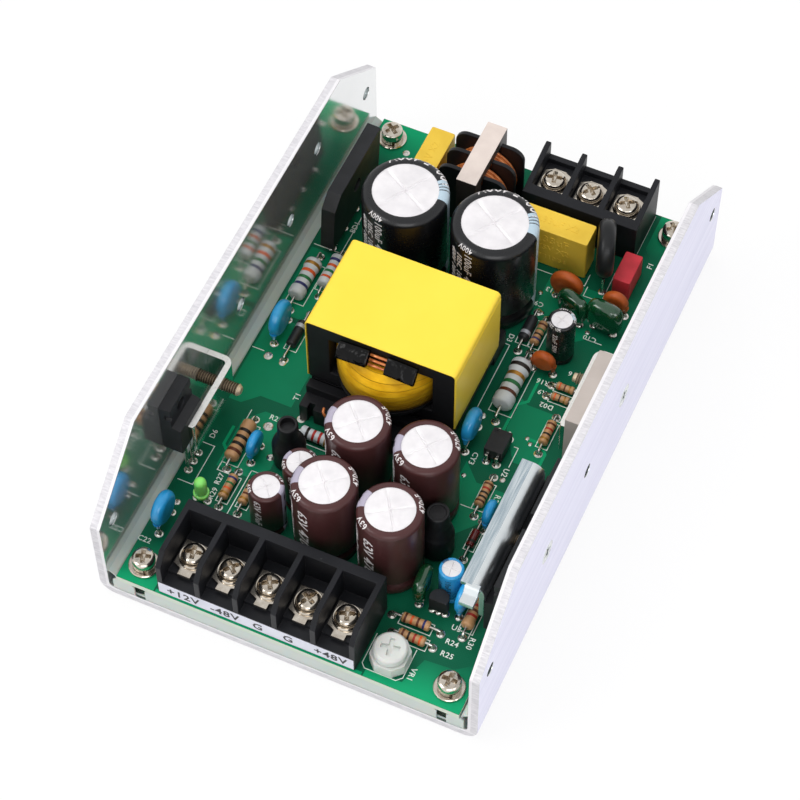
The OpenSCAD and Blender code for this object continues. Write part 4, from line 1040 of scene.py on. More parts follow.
@dataclass
class BoardAssembly:
    """The board with its copper, print, pads, washers and corner screws."""

    corners: tuple[Spot, ...] = ((-37.8, -67.6), (-37.8, 67.6), (37.8, -67.6), (37.8, 67.6))
    washer_t: float = 0.8
    spring_t: float = 1.1
    washer_r: float = 3.65
    fields: tuple[Path, ...] = (
        ((-41.8, 6.5), (-26, 6.5), (-26, -15.5), (-34, -15.5), (-37.5, -19), (-41.8, -19)),
        ((-41.8, 29), (-41.8, 8), (-31, 8), (-31, 29)),
        ((-31, -19), (-23, -19), (-23, -33), (-27, -37), (-35, -37), (-35, -23)),
        ((17.6, -12), (22, -16.5), (30, -16.5), (30, -23), (23, -31), (17.6, -31)),
        ((22.5, 9.2), (24.5, 8), (33.5, 8), (33.5, -8), (27.5, -8), (22.5, 0)),
        ((15, 30), (15, 45), (30, 45), (30, 31), (26, 28)),
    )
    # Fields of painted sheen: lighter resist that fades towards the board's middle.
    sheen_fields: tuple[Path, ...] = (
        ((19, -72.75), (42.35, -72.75), (42.35, -59), (37, -63), (30, -63.5), (27.6, -70.6), (19, -70.6)),
        ((-42.35, -72.75), (-33, -72.75), (-33, -61), (-36, -56), (-42.35, -52)),
        ((-32.6, -72.75), (18.6, -72.75), (18.6, -71.9), (-32.6, -71.9)),
        ((33, 72.75), (33, 62), (37, 57), (37, 32), (42.35, 32), (42.35, 72.75)),
        ((-42.35, 72.75), (-42.35, 54), (-34.6, 54), (-27.6, 61), (-27.6, 72.75)),
    )
    tracks: tuple[Path, ...] = (
        ((24.2, 16), (24.2, 9), (22, 7), (22, -2)),
        ((28, -0.6), (31, -0.6), (33.5, -3), (33.5, -8)),
        ((18.5, -15.9), (16, -18), (16, -22)),
        ((-33, -34), (-36, -31), (-36, -26)),
    )
    words: tuple[tuple[str, float, float, float], ...] = (
        ("R28", -27.9, -19.9, 0), ("D6", -39.3, -29.6, 90), ("R27", -32.6, -40.1, 90),
        ("R29", -32.2, -44.2, 90), ("C3", -40.2, 4.2, 90), ("T1", -26, -12.2, 90), ("U2", 27, -11.4, -90),
        ("R21", 28, -19.2, -90), ("CY3", 18.7, -10.8, -90), ("D3", 13.2, 24, -90), ("R16", 25.2, 15.5, 180),
        ("R9", 26.2, 12.7, 180), ("D02", 28.6, 9.6, 180), ("U3", 33.2, -53.4, 0), ("R24", 33.8, -57.2, 0),
        ("R25", 34, -60.4, 0), ("R30", 37.6, -55.6, -90), ("VR1", 28.8, -68, -90), ("BD1", -34.6, 38.6, 90),
        ("C13", 17, 41, 180), ("C9", 15.6, 36, 180), ("C10", 30.6, 31.6, 180), ("C16", 31.4, 20.4, 180),
        ("R8", -30.4, 9.6, 90), ("F1", 36, 57.5, 90), ("L1", 20.4, -29.6, -90), ("Q2", 33.6, -11.4, -90),
        ("C22", -41, -61.6, 0),
    )
    prints: tuple[Path, ...] = (
        ((-41.6, 30), (-34.4, 30), (-34.4, 46)), ((-41, -32.6), (-37.6, -32.6), (-37.6, -44), (-41.4, -44)),
        ((-26.8, -35), (-26.8, -48)), ((-26.8, -35), (-24, -35)), ((13.9, -1), (13.9, 22)),
        ((12.8, 22), (13.9, 22)), ((11, 45.4), (23.6, 45.4), (23.6, 49)),
        ((24.4, 45.4), (24.4, 42.6), (29, 42.6), (29, 52)), ((31.6, 58), (31.6, 72)),
        ((17.6, -61.8), (17.6, -69.8), (18.6, -70.8), (26.2, -70.8), (27.4, -69.6), (27.4, -62)),
        ((26.2, -4), (27.2, -4), (27.2, -9.6)), ((36.6, -54.6), (36.6, -51)), ((-42, -3.6), (-39, -3.6)),
        ((16, -5), (16, -9.6)), ((31.6, 6.6), (34, 6.6)), ((21, -23.4), (24, -23.4)),
        ((-38.6, 32), (-36.4, 32)), ((-34.2, -20), (-34.2, -38), (-30, -38)), ((-41.2, -52), (-38.6, -52)),
        ((29.4, 31), (33.8, 31)),
    )
    rings: tuple[Place, ...] = (
        (-37.4, -4.5, 1.1), (-28.6, -22.5, 1.2), (15.9, 0.9, 0.9), (18.5, -15.9, 0.6), (-24.4, -30, 0.9),
        (-38.7, -49.7, 0.8), (28, -0.6, 0.55), (29.2, -1.8, 0.55), (-32.7, 64.9, 0.9), (-22.4, -17.4, 1.1),
        (30.2, -16.4, 0.7), (27.2, -13.4, 0.7), (14.6, 39.2, 0.6), (17.2, 33.8, 0.6), (34.4, 45, 0.7),
        (29.4, 33, 0.6), (-33.4, -4.9, 0.9), (36.4, 8.4, 0.6),
    )
    screw: PanScrew = field(default_factory=PanScrew)

    def copper(self) -> None:
        """Lays the resist-covered copper fields and tracks, and the fields of painted sheen."""
        shape = Shape()
        for group, mark in ((self.fields, 0), (self.sheen_fields, 1)):
            for outline in group:
                shape.slab(outline, TOP - SINK, TOP + 0.5 * DECAL, mark=mark)
        for path in self.tracks:
            shape.line(path, 0.7, TOP + 0.8 * DECAL, 2)
        paints = [Paint.COPPER_FIELD, Paint.RESIST_SHEEN, Paint.TRACK]
        shape.piece("copper_fields", paints, "board_green")

    def legend(self, outlines: Sequence[Sequence[Spot]]) -> None:
        """Prints the white lines and designators.

        Args:
            outlines: Lines round the parts, besides the fixed ones.
        """
        shape = Shape()
        height = TOP + 1.4 * DECAL
        for path in (*self.prints, *outlines):
            shape.line(path, 0.2, height)
        for text, x, y, turn in self.words:
            shape.word(text, 1.9, at(x, y, height - INK_T / 2, turn), bold=0.012)
        shape.piece("white_print", [Paint.LEGEND], "board_green")

    def pads(self, spots: Sequence[Place]) -> None:
        """Lays tinned pads with a rise of solder round each lead, and bare test pads.

        Args:
            spots: Places across and along, and the lead's radius.
        """
        shape, z = Shape(), TOP + 1.6 * DECAL
        rise = ((0.66, 0.0), (0.36, 0.06), (0.14, 0.24), (0.03, 0.5), (0.0, 0.5))
        for x, y, wire in spots:
            profile = [(wire + 0.66, TOP), *((wire + r, z + up) for r, up in rise)]
            shape.lathe(profile, at(x, y, 0.0), steps=20)
        for x, y, r in self.rings:
            profile = [
                (r, TOP), (r, z), (0.8 * r, z + 0.1), (0.4 * r, z + 0.16), (0.3 * r, z + 0.02), (TIP, z)
            ]
            shape.lathe(profile, at(x, y, 0.0), steps=24)
        shape.piece("solder_pads", [Paint.TIN], "screw_steel")

    def fasteners(self) -> None:
        """Builds the flat washers, the split spring washers and the corner screws."""
        flat, spring, screws = Shape(), Shape(), Shape()
        wide, thick = self.washer_r, self.washer_t
        washer = [
            (1.7, 0.0), (wide - 0.15, 0.0), (wide, 0.12), (wide, 0.62), (wide - 0.2, thick), (1.8, thick),
            (1.7, 0.0),
        ]
        for i, (x, y) in enumerate(self.corners):
            flat.lathe(washer, at(x, y), steps=56)
            base, gap = TOP + thick, 0.12
            rings = []
            for k in range(41):
                t = gap + (2 * pi - 2 * gap) * k / 40 - 1.05
                lift = 0.22 * k / 40
                corners = [(1.75, 0.0), (2.8, 0.0), (2.8, self.spring_t - 0.22), (1.75, self.spring_t - 0.22)]
                rings.append([Vector((x + r * cos(t), y + r * sin(t), base + z + lift)) for r, z in corners])
            spring.loft(rings, caps=(True, True))
            self.screw.draw(screws, at(x, y, base + self.spring_t, 20 + 35 * i), 5.6)
        flat.piece("flat_washers_turned", [Paint.NICKEL], "screw_steel", "flat_washers")
        spring.piece("spring_washers_split", [Paint.NICKEL], "screw_steel", "lock_washers", bevel=0.08)
        screws.piece("corner_screws", [Paint.NICKEL], "screw_steel", "board_screws", sharp=28.0)

    def build(self, spots: Sequence[Place], outlines: Sequence[Sequence[Spot]]) -> None:
        """Builds all of the board's own pieces."""
        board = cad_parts["circuit_board"]
        board.data.materials.clear()
        board.data.materials.append(Paint.BOARD.value.make())
        self.copper()
        self.legend(outlines)
        self.pads(spots)
        self.fasteners()


class OpenSide(Enum):
    """Which end of the board a terminal row opens to."""

    FRONT = -1
    REAR = 1


@dataclass
class TerminalRow:
    """A barrier terminal block with its plates and screws."""

    name: str
    side: OpenSide
    x: float
    ways: int
    screw_y: float
    floor: float
    pitch: float = 9.5
    plate: float = 7.2
    plate_t: float = 0.9
    tongue: float = 1.8
    turns: tuple[float, ...] = (12, 48, 30, 62, 20)
    legend: tuple[tuple[str, float], ...] = ()
    front: float = -72.3
    screw: PanScrew = field(default_factory=lambda: PanScrew(slot=0.5, rim=True))

    def spots(self) -> list[Spot]:
        """Places of the screws."""
        return [(self.x + (i - (self.ways - 1) / 2) * self.pitch, self.screw_y) for i in range(self.ways)]

    def plates(self) -> None:
        """Builds the pressed plates with their bent tongues."""
        shape = Shape()
        base, half, s = TOP + self.floor, self.plate / 2, self.side.value
        for x, y in self.spots():
            rings = []
            profile = [(-half, 0.0), (half - 0.6, 0.0), (half + 0.3, 0.1), (half + self.tongue, 0.1)]
            for along, rise in profile:
                width = half if along < half else 1.6
                high = rise + self.plate_t
                corners = [(-width, rise), (width, rise), (width, high), (-width, high)]
                rings.append([Vector((x + a, y + s * along, base + z)) for a, z in corners])
            shape.loft(rings, caps=(True, True))
        node = f"{self.name}_terminal_plates"
        shape.piece(f"{self.name}_plates_pressed", [Paint.NICKEL], "terminal_nickel", node, bevel=0.12)

    def screws(self) -> None:
        """Builds the terminal screws with the cupped rims round their heads."""
        shape = Shape()
        for (x, y), turn in zip(self.spots(), self.turns):
            z = TOP + self.floor + self.plate_t
            self.screw.draw(shape, at(x, y, z, turn), 4.8)
        node = f"{self.name}_terminal_screws"
        shape.piece(f"{self.name}_screws_turned", [Paint.NICKEL], "screw_steel", node, sharp=28.0)

    def label(self) -> None:
        """Adds the paper strip and its words along the front."""
        half, low, high = self.ways * self.pitch / 2 + 0.4, TOP + 0.5, TOP + 4.5
        face = facing_front(self.x, self.front, 0.0)
        strip, words = Shape(), Shape()
        strip.slab([(-half, low), (half, low), (half, high), (-half, high)], 0.02, 0.12, face)
        strip.piece(f"{self.name}_label_strip", [Paint.LABEL], "terminal_black")
        for i, (text, shift) in enumerate(self.legend):
            x = (i - (self.ways - 1) / 2) * self.pitch + shift
            spot = face @ Matrix.Translation((x, (low + high) / 2 - 0.1, 0.15))
            words.word(text, 3.3, spot @ Matrix.Diagonal((1.06, 1.0, 1.0, 1.0)), bold=0.02)
        words.piece(f"{self.name}_label_words", [Paint.LABEL_INK], "terminal_black")

    def build(self) -> None:
        """Builds the whole row."""
        node = f"{self.name}_terminal_block"
        dressed_node(node, [Paint.TERMINAL, Paint.TIN], "terminal_black", 0.28, below_board)
        self.plates()
        self.screws()
        if self.legend:
            self.label()


@dataclass
class Transformer:
    """Ferrite core, taped band, wound coil and bobbin."""

    x: float = -5.05
    y: float = 2.3
    low: float = 16.4
    width: float = 37.0
    depth: float = 25.2
    height: float = 22.0
    tape_t: float = 0.3
    sleeve_half: float = 3.7
    coil_x: float = 14.7
    coil_y: float = 18.8
    coil_low: float = 21.8
    coil_high: float = 33.0

    def band(self) -> None:
        """Wraps the tape round the core, with a lapped end on the right side."""
        radius, shape = 0.9, Shape()

        def ring(offset: float, y: float) -> list[Vector]:
            half, points = self.width / 2 + offset, []
            low, high = self.low - offset, self.low + self.height + offset
            for cx, cz, start in ((half, high, 0), (-half, high, 90), (-half, low, 180), (half, low, 270)):
                r = radius + offset
                mx, mz = cx - copysign(r, cx), cz - r if cz == high else cz + r
                for k in range(6):
                    t = radians(start + 18 * k)
                    back_off = copysign(0.8, self.y - y) * max(0.0, -sin(t))
                    points.append(Vector((self.x + mx + r * cos(t), y + back_off, mz + r * sin(t))))
            return points

        front, back = self.y - self.depth / 2 - 0.2, self.y + self.depth / 2 + 0.2
        outer, inner, edge = self.tape_t, 0.02, 0.12
        stations = [(outer - edge, front), (outer, front + edge), (outer, back - edge), (outer - edge, back)]
        shape.loft([ring(*s) for s in (*stations, (inner, back), (inner, front))], closed=True)
        side = self.x + self.width / 2 + outer
        lap = [(front + 0.15, 20.0), (back - 0.15, 19.4), (back - 0.15, 36.6), (front + 0.15, 36.9)]
        shape.slab(lap, 0.0, 0.09, Matrix(((0, 0, 1, side), (1, 0, 0, 0), (0, 1, 0, 0), (0, 0, 0, 1))))
        shape.piece("tape_band", [Paint.TAPE], "yellow_tape", "transformer_tape", sharp=30.0)

    def coil(self) -> None:
        """Builds the oval taped coil, each turn of tape lapped over the one below."""
        shape, rows, fine, steps = Shape(), 7, 6, 96
        rise = self.coil_high - self.coil_low

        def ring(inset: float, z: float) -> list[Vector]:
            turns = [2 * pi * k / steps for k in range(steps)]
            wide, deep = self.coil_x - 0.25 * inset, self.coil_y - inset
            return [Vector((self.x + wide * cos(t), self.y + deep * sin(t), z)) for t in turns]

        hub = [Vector((self.x + p.x, self.y + p.y, 0.0)) for p in circle(7.0, steps)]
        rings = [[p + self.coil_low * UP for p in hub]]
        for i in range(rows * fine + 1):
            share = i / (rows * fine)
            crown = 3.4 * max(0.0, (share - 0.5) / 0.5) ** 1.7 + 0.7 * max(0.0, 0.14 - share) / 0.14
            lap = 0.2 * (i % fine) / fine
            rings.append(ring(crown + lap + 0.05, self.coil_low + share * rise))
        rings.append([p + self.coil_high * UP for p in hub])
        shape.loft(rings)
        shape.piece("wound_coil", [Paint.COIL], "coil_tape", "transformer_coil", sharp=24.0)

    def sleeves(self) -> None:
        """Builds the two flattened sleeves over the coil's leads, hollow at their ends."""
        shape, steps = Shape(), 56
        front = self.y - self.depth / 2
        slant = Matrix.Rotation(radians(47), 3, "X")
        along, across = slant @ Vector((0, -1, 0)), slant @ UP
        for offset, lean, tilt in ((-5.75, 0.035, 0.03), (6.2, -0.035, 0.34)):
            middle = Vector((self.x + offset, front - 2.2, 36.0))

            def ring(x: float, grow: float) -> list[Vector]:
                points = []
                for k in range(steps):
                    t = 2 * pi * k / steps
                    u, v = cos(t), sin(t)
                    wide = copysign(abs(u) ** 0.45, u) * (2.15 + grow)
                    crease = 0.2 * exp(-(((u - 0.1 - tilt * x + 0.08 * sin(2.6 * x)) / 0.2) ** 2))
                    thick = copysign(abs(v) ** 0.6, v) * (0.95 + grow + crease)
                    points.append(middle + Vector((x, lean * x, 0)) + along * wide + across * thick)
                return points

            half = self.sleeve_half
            stations = [(-half + 1.6, -0.4), (-half, -0.34), (-half, -0.05), (-half + 0.15, 0.0)]
            stations += [(half * (-0.9 + 0.075 * k), 0.0) for k in range(25)]
            stations += [(half - 0.15, 0.0), (half, -0.05), (half, -0.34), (half - 1.6, -0.4)]
            shape.loft([ring(x, g) for x, g in stations], caps=(True, True))
        shape.piece("lead_sleeves", [Paint.SLEEVING], "sleeve_black", "transformer_sleeves", sharp=50.0)

    def wires(self) -> None:
        """Adds the copper leads between the sleeves and down to the front rail."""
        shape = Shape()
        front = self.y - self.depth / 2

        def wire(corners: Sequence[Place], bend: float, radius: float = 0.35) -> None:
            path = [Vector((self.x + x, front + y, z)) for x, y, z in corners]
            shape.tube(rounded_path(path, bend), radius)

        for i in range(3):
            y, z = -0.75 - 0.75 * i, 36.2 - 0.9 * i
            wire([(-2.6, y + 0.2, z - 0.4), (0.3, y - 0.15, z + 0.1), (3.0, y + 0.2, z - 0.4)], 1.2, 0.36)
        wire([(-11.6, -6.4, 15.6), (-11.4, -7.6, 15.4), (-9.6, -7.7, 13.0)], 0.8)
        for x0, x1 in ((2.6, 3.4), (-4.4, -3.6)):
            drop = [(x0, -2.4, 20.9), (x0, -3.9, 17.0), (x1, -5.6, 15.0), (x1, -7.0, 13.6), (x1, -7.1, 10.6)]
            wire(drop, 1.2)
        shape.piece("coil_leads", [Paint.COPPER], "copper_wire", sharp=60.0)

    def build(self) -> None:
        """Builds the whole transformer."""
        dressed_node("transformer_core", [Paint.FERRITE], "ferrite_dark", 0.5)
        dressed_node("transformer_bobbin", [Paint.BOBBIN, Paint.TIN], "bobbin_black", 0.2, below_board)
        self.sleeves()
        self.band()
        self.coil()
        self.wires()


@dataclass
class LineChoke:
    """Ferrite frame, its top painted pale as a reflection, with two copper windings on a three-flanged
    bobbin.
    """

    x: float = -9.1
    y: float = 57.1
    axis: float = 17.4
    inside: float = 12.2
    flange: float = 1.1
    radius: float = 8.8
    squeeze: float = 0.88
    wire: float = 0.42
    half_long: float = 9.7
    half_wide: float = 2.6
    low: float = 14.3
    top: float = 29.5
    lower_bar: float = 5.2
    upper_bar: float = 3.0

    def frame(self) -> None:
        """Builds the closed ferrite frame, its machined upper face painted pale as a reflection of the sky.
        """
        shape, long, room = Shape(), self.half_long, self.inside / 2
        outer = ((-long, self.low), (long, self.low), (long, self.top), (-long, self.top))
        low, high = self.low + self.lower_bar, self.top - self.upper_bar
        inner = ((-room, low), (room, low), (room, high), (-room, high))
        rings = []
        for out, within in zip(outer, inner):
            corners = [(-1, out), (1, out), (1, within), (-1, within)]
            rings.append([Vector((self.x + s * self.half_wide, self.y + p[0], p[1])) for s, p in corners])
        shape.loft(rings, closed=True)
        # Painted reflection: the upper face takes a pale colour, the other faces the dark ferrite.
        reflecting_top: Marker = lambda middle, normal: 0 if normal.z > 0.4 and middle.z > high else 1
        paints = [Paint.FERRITE_SKY_REFLECTION, Paint.CHOKE_SIDE]
        shape.piece("choke_frame", paints, "ferrite_grey", "line_choke_core", bevel=0.22, mark=reflecting_top)

    def windings(self) -> None:
        """Winds round wire in two lots between the flanges."""
        shape = Shape()
        room = (self.inside - 3 * self.flange) / 2 - 0.3
        turns = int(room / (2 * self.wire))
        for side in (-1, 1):
            middle = self.y + side * (room + self.flange + 0.3) / 2
            profile = [(4.2, -room / 2)]
            for i in range(turns):
                centre = -room / 2 + self.wire + (room - 2 * self.wire) * i / (turns - 1)
                for k in range(7):
                    t = pi * (1 - k / 6)
                    out, along = self.wire * (sin(t) - 1), self.wire * cos(t)
                    profile.append((self.radius + out, centre + along))
            profile.append((4.2, room / 2))
            place = Matrix.Translation((self.x, middle, self.axis)) @ Matrix.Rotation(-pi / 2, 4, "X")
            shape.lathe(profile, place @ Matrix.Diagonal((self.squeeze, 1.0, 1.0, 1.0)), steps=64)
        shape.piece("copper_turns", [Paint.COPPER], "copper_wire", "line_choke_windings", sharp=60.0)

    def build(self) -> None:
        """Builds the whole choke."""
        self.frame()
        dressed_node("line_choke_bobbin", [Paint.BOBBIN, Paint.TIN], "bobbin_black", 0.22, below_board)
        self.windings()


@dataclass
class RoundCan:
    """A round capacitor: sleeve, rolled groove, scored bare top and printed marks."""

    node: str
    x: float
    y: float
    diameter: float
    height: float
    pitch: float
    sleeve: Paint
    ink: Paint
    slot: str
    stripe: float = 180.0
    marks: tuple[tuple[str, float, float, float, float], ...] = ()

    def top_ring(self, r: float, z: float, groove: float, depth: float) -> list[Vector]:
        """One ring of the bare top, dented along a cross."""
        points = []
        for arm in range(4):
            middle = radians(35 + 90 * arm)
            spread = min(groove / max(r, 1e-4), 0.6)
            fan = [-spread, -0.3 * spread, 0.3 * spread, spread]
            rest = [spread + (pi / 2 - 2 * spread) * k / 9 for k in range(1, 9)]
            for i, a in enumerate([*fan, *rest]):
                sunk = depth if i in (1, 2) else 0.0
                points.append(Vector((r * cos(middle + a), r * sin(middle + a), z - sunk)))
        return points

    def body(self) -> None:
        """Builds the can."""
        shape, r, h = Shape(), self.diameter / 2, self.height
        edge, rim, groove = 0.09 * self.diameter, 0.76 * r, 0.035 * self.diameter
        seat, lip, dip = r - 0.9 * edge, r - 0.3 * edge, r - 0.45 * groove
        profile = [(TIP, 0.35), (seat, 0.35), (seat, 0.0), (lip, 0.05), (r, 0.4 * edge), (r, 1.9 * edge)]
        profile += [
            (dip, 2.2 * edge), (r - groove, 2.6 * edge), (dip, 3.0 * edge), (r, 3.4 * edge), (r, h - edge)
        ]
        profile += [(r - edge + edge * cos(t), h - edge + edge * sin(t)) for t in (0.3, 0.6, 0.9, 1.2, 1.5)]
        profile += [(rim + 0.25, h), (rim, h - 0.06), (rim, h - 0.26)]
        marks = [2, 2, *[0] * (len(profile) - 3)]
        shape.lathe(profile, marks=marks, steps=96)
        width, depth = 0.022 * self.diameter, 0.016 * self.diameter
        rings = []
        for s in (1.0, 0.94, 0.85, 0.6, 0.3, 0.1, TIP):
            rings.append(self.top_ring(rim * s, h - 0.26 + 0.1 * (1 - s), width, depth if s < 0.86 else 0.0))
        shape.loft(rings, 1)
        place = metres(at(self.x, self.y, TOP, self.stripe))
        paints = [self.sleeve, Paint.CAN_TOP, Paint.BUNG]
        shape.piece(f"can.{self.node}", paints, self.slot, self.node, place=place, sharp=40.0)

    def over_shoulder(self, along: float, off: float) -> Spot:
        """Radius and height of a place on the sleeve.

        Args:
            along: Way up the side and on over the rounded shoulder.
            off: Distance off the sleeve.

        Returns:
            Radius and height in millimetres.
        """
        r, edge = self.diameter / 2, 0.09 * self.diameter
        straight = self.height - edge
        if along <= straight:
            return r + off, along
        t = min((along - straight) / edge, 1.5)
        return r - edge + (edge + off) * cos(t), straight + (edge + off) * sin(t)

    def print(self) -> None:
        """Wraps the printed marks round the sleeve."""
        bm, reach = bmesh.new(), self.diameter / 2 + 0.05
        for text, angle, height, size, lean in self.marks:
            points, faces = glyphs(text, size, 0.01)
            part = bmesh.new()
            verts = [part.verts.new(Matrix.Rotation(radians(lean), 3, "Z") @ p) for p in points]
            for f in faces:
                part.faces.new([verts[i] for i in f])
            long_edges = [e for e in part.edges if e.calc_length() > 0.7]
            bmesh.ops.subdivide_edges(part, edges=long_edges, cuts=2)
            for v in part.verts:
                t = radians(angle) + v.co.x / reach
                out, up = self.over_shoulder(height + v.co.y, v.co.z + 0.02)
                v.co = Vector((out * cos(t), out * sin(t), up)) * MM
            mesh = bpy.data.meshes.new("marks")
            part.to_mesh(mesh)
            part.free()
            bm.from_mesh(mesh)
            bpy.data.meshes.remove(mesh)
        settle(bm, f"marks.{self.node}", [self.ink], slot=self.slot, place=metres(at(self.x, self.y)))

    def build(self) -> list[Spot]:
        """Builds the capacitor.

        Returns:
            Places of its leads.
        """
        self.body()
        if self.marks:
            self.print()
        return twin(self.x, self.y, 0, self.pitch)


@dataclass
class AxialPart:
    """A resistor or diode on two bent leads."""

    x: float
    y: float
    turn: float
    length: float
    diameter: float
    pitch: float
    body: Paint
    bands: tuple[tuple[float, float, Paint], ...]
    swell: float = 0.12

    def radius_at(self, share: float) -> float:
        """Radius along the body, from 0 at one end to 1 at the other."""
        r, end = self.diameter / 2, min(share, 1 - share)
        if end < 0.07:
            return r * (0.55 + 0.45 * sqrt(max(0.0, 1 - (1 - end / 0.07) ** 2)))
        if end < 0.2 or not self.swell:
            return r
        return r * (1 - self.swell * min(1.0, (end - 0.2) / 0.07))

    def draw(self, shape: Shape, paints: list[Paint]) -> None:
        """Draws the part into a shape, adding the finishes that it needs."""
        def number(paint: Paint) -> int:
            if paint not in paints:
                paints.append(paint)
            return paints.index(paint)

        ends = (0.0, 0.01, 0.025, 0.045, 0.07, 0.2, 0.235, 0.27)
        cuts = {*ends, 0.5, *(round(1 - s, 3) for s in ends)}
        for middle, width, _ in self.bands:
            cuts |= {middle - width / 2, middle + width / 2}
        shares = sorted(cuts)
        marks = []
        for a, b in zip(shares, shares[1:]):
            paint = self.body
            for middle, width, band in self.bands:
                if abs((a + b) / 2 - middle) < width / 2:
                    paint = band
            marks.append(number(paint))
        lie = TOP + self.diameter / 2 + 0.1
        place = at(self.x, self.y, lie, self.turn) @ Matrix.Rotation(pi / 2, 4, "Y")
        profile = [(self.radius_at(s), (s - 0.5) * self.length) for s in shares]
        closed = [(TIP, profile[0][1]), *profile, (TIP, profile[-1][1])]
        shape.lathe(closed, place, [marks[0], *marks, marks[-1]], 32)
        tin = number(Paint.TIN)
        bend = min(0.9, max(0.3, (self.pitch - self.length) / 2 - 0.2))
        for x, y in twin(self.x, self.y, self.turn, self.pitch):
            inner = Vector((self.x, self.y, lie)).lerp(Vector((x, y, lie)), 0.94 * self.length / self.pitch)
            path = rounded_path([inner, Vector((x, y, lie)), Vector((x, y, LEAD_END))], min(bend, lie - TOP))
            shape.tube(path, WIRE_R * 0.92, tin)

    def outline(self) -> list[Spot]:
        """Printed box round the body."""
        along, across = self.length / 2 + 0.5, self.diameter / 2 + 0.25
        m = at(self.x, self.y, 0.0, self.turn)
        signs = ((-1, -1), (1, -1), (1, 1), (-1, 1), (-1, -1))
        return [tuple((m @ Vector((a * along, b * across, 0))).xy) for a, b in signs]


@dataclass
class AxialGroup:
    """All the axial parts of one node."""

    node: str
    slot: str
    parts: tuple[AxialPart, ...]

    def build(self) -> list[Spot]:
        """Builds the parts as one piece.

        Returns:
            Places of their leads.
        """
        shape, paints = Shape(), []
        for part in self.parts:
            part.draw(shape, paints)
        shape.piece(f"banded.{self.node}", paints, self.slot, self.node, sharp=45.0)
        return [s for p in self.parts for s in twin(p.x, p.y, p.turn, p.pitch)]


@dataclass
class DiscGroup:
    """Dipped discs on leads, with the coating run down on to the wires."""

    node: str
    slot: str
    paint: Paint
    discs: tuple[tuple[float, ...], ...]
    square: bool = False

    def outline(self, radius: float, share: float) -> list[Vector]:
        """One ring of a disc or of a squared pillow, in its own plane."""
        points = []
        for k in range(48):
            t = 2 * pi * k / 48
            c, s = cos(t), sin(t)
            power = 0.62 if self.square else 1.0
            u, v = copysign(abs(c) ** power, c), copysign(abs(s) ** power, s)
            points.append(Vector((0.0, u, v)) * radius * share)
        return points

    def build(self) -> list[Spot]:
        """Builds the discs as one piece.

        Returns:
            Places of their leads.
        """
        shape, spots = Shape(), []
        for x, y, turn, diameter, thick, pitch, lift in self.discs:
            r, half = diameter / 2, thick / 2
            middle = TOP + lift + r
            place = at(x, y, middle, turn)
            rings = []
            for k in range(13):
                t = -pi / 2 + pi * k / 12
                inset = (r - half * 0.9 + half * 0.9 * cos(t)) / r
                rings.append([place @ (p + Vector((half * sin(t), 0, 0))) for p in self.outline(r, inset)])
            tips = [Vector((s * half * 1.06, 0, 0)) for s in (-1, 1)]
            domes = [[place @ (p + tip) for p in self.outline(r, TIP)] for tip in tips]
            shape.loft([domes[0], *rings, domes[1]])
            feet = twin(x, y, turn + 90, pitch)
            for foot in feet:
                reach = min(pitch / 2, 0.92 * r)
                drop = sqrt(max(r * r - reach * reach, 0.0)) if not self.square else 0.94 * r
                top = middle - drop
                across = Vector((foot[0] - x, foot[1] - y, 0)).normalized() * min(pitch / 2, 0.8 * r)
                root = Vector((x, y, top + 0.9)) + across
                neck = Vector((*foot, max(TOP + 0.9, top - 1.2)))
                shape.tube([root, root.lerp(neck, 0.5), neck], [half * 0.75, 0.72, 0.46], 0)
                shape.tube([neck + 0.3 * UP, Vector((*foot, LEAD_END))], WIRE_R * 0.9, 1)
            spots += feet
        shape.piece(f"dipped.{self.node}", [self.paint, Paint.TIN], self.slot, self.node, sharp=60.0)
        return spots


@dataclass
class DrumChoke:
    """A drum core under shrink sleeve, drawn in to a neck."""

    node: str
    x: float
    y: float
    body_r: float
    neck_r: float
    body_h: float
    full_h: float
    hollow: float

    def build(self) -> list[Spot]:
        """Builds the choke.

        Returns:
            Places of its leads.
        """
        shape, r, n, h, top = Shape(), self.body_r, self.neck_r, self.body_h, self.full_h
        profile = [(TIP, 0.3), (r - 0.9, 0.3), (r - 0.8, 0.0), (r - 0.15, 0.25), (r, 0.9), (r, h - 1.2)]
        profile += [
            (r - 0.2, h - 0.4), (r - 0.7, h + 0.3), (n + 0.5, h + 1.5), (n + 0.1, h + 2.4), (n, h + 3.2)
        ]
        profile += [(n - 0.05, top - 0.5), (n - 0.15, top - 0.12), (n - 0.4, top), (n - 0.75, top - 0.1)]
        profile += [(n - 0.85, top - self.hollow), (TIP, top - self.hollow + 0.05)]
        rings = []
        for radius, z in profile:
            ring = circle(radius, 48, z)
            for k, p in enumerate(ring):
                if h < z < top - 0.6:
                    p.xy *= 1 + 0.012 * sin(5 * 2 * pi * k / 48)
            rings.append([at(self.x, self.y) @ p for p in ring])
        shape.loft(rings)
        shape.piece(f"sleeved.{self.node}", [Paint.SHRINK], "sleeve_black", self.node, sharp=50.0)
        return twin(self.x, self.y, 90, 4)


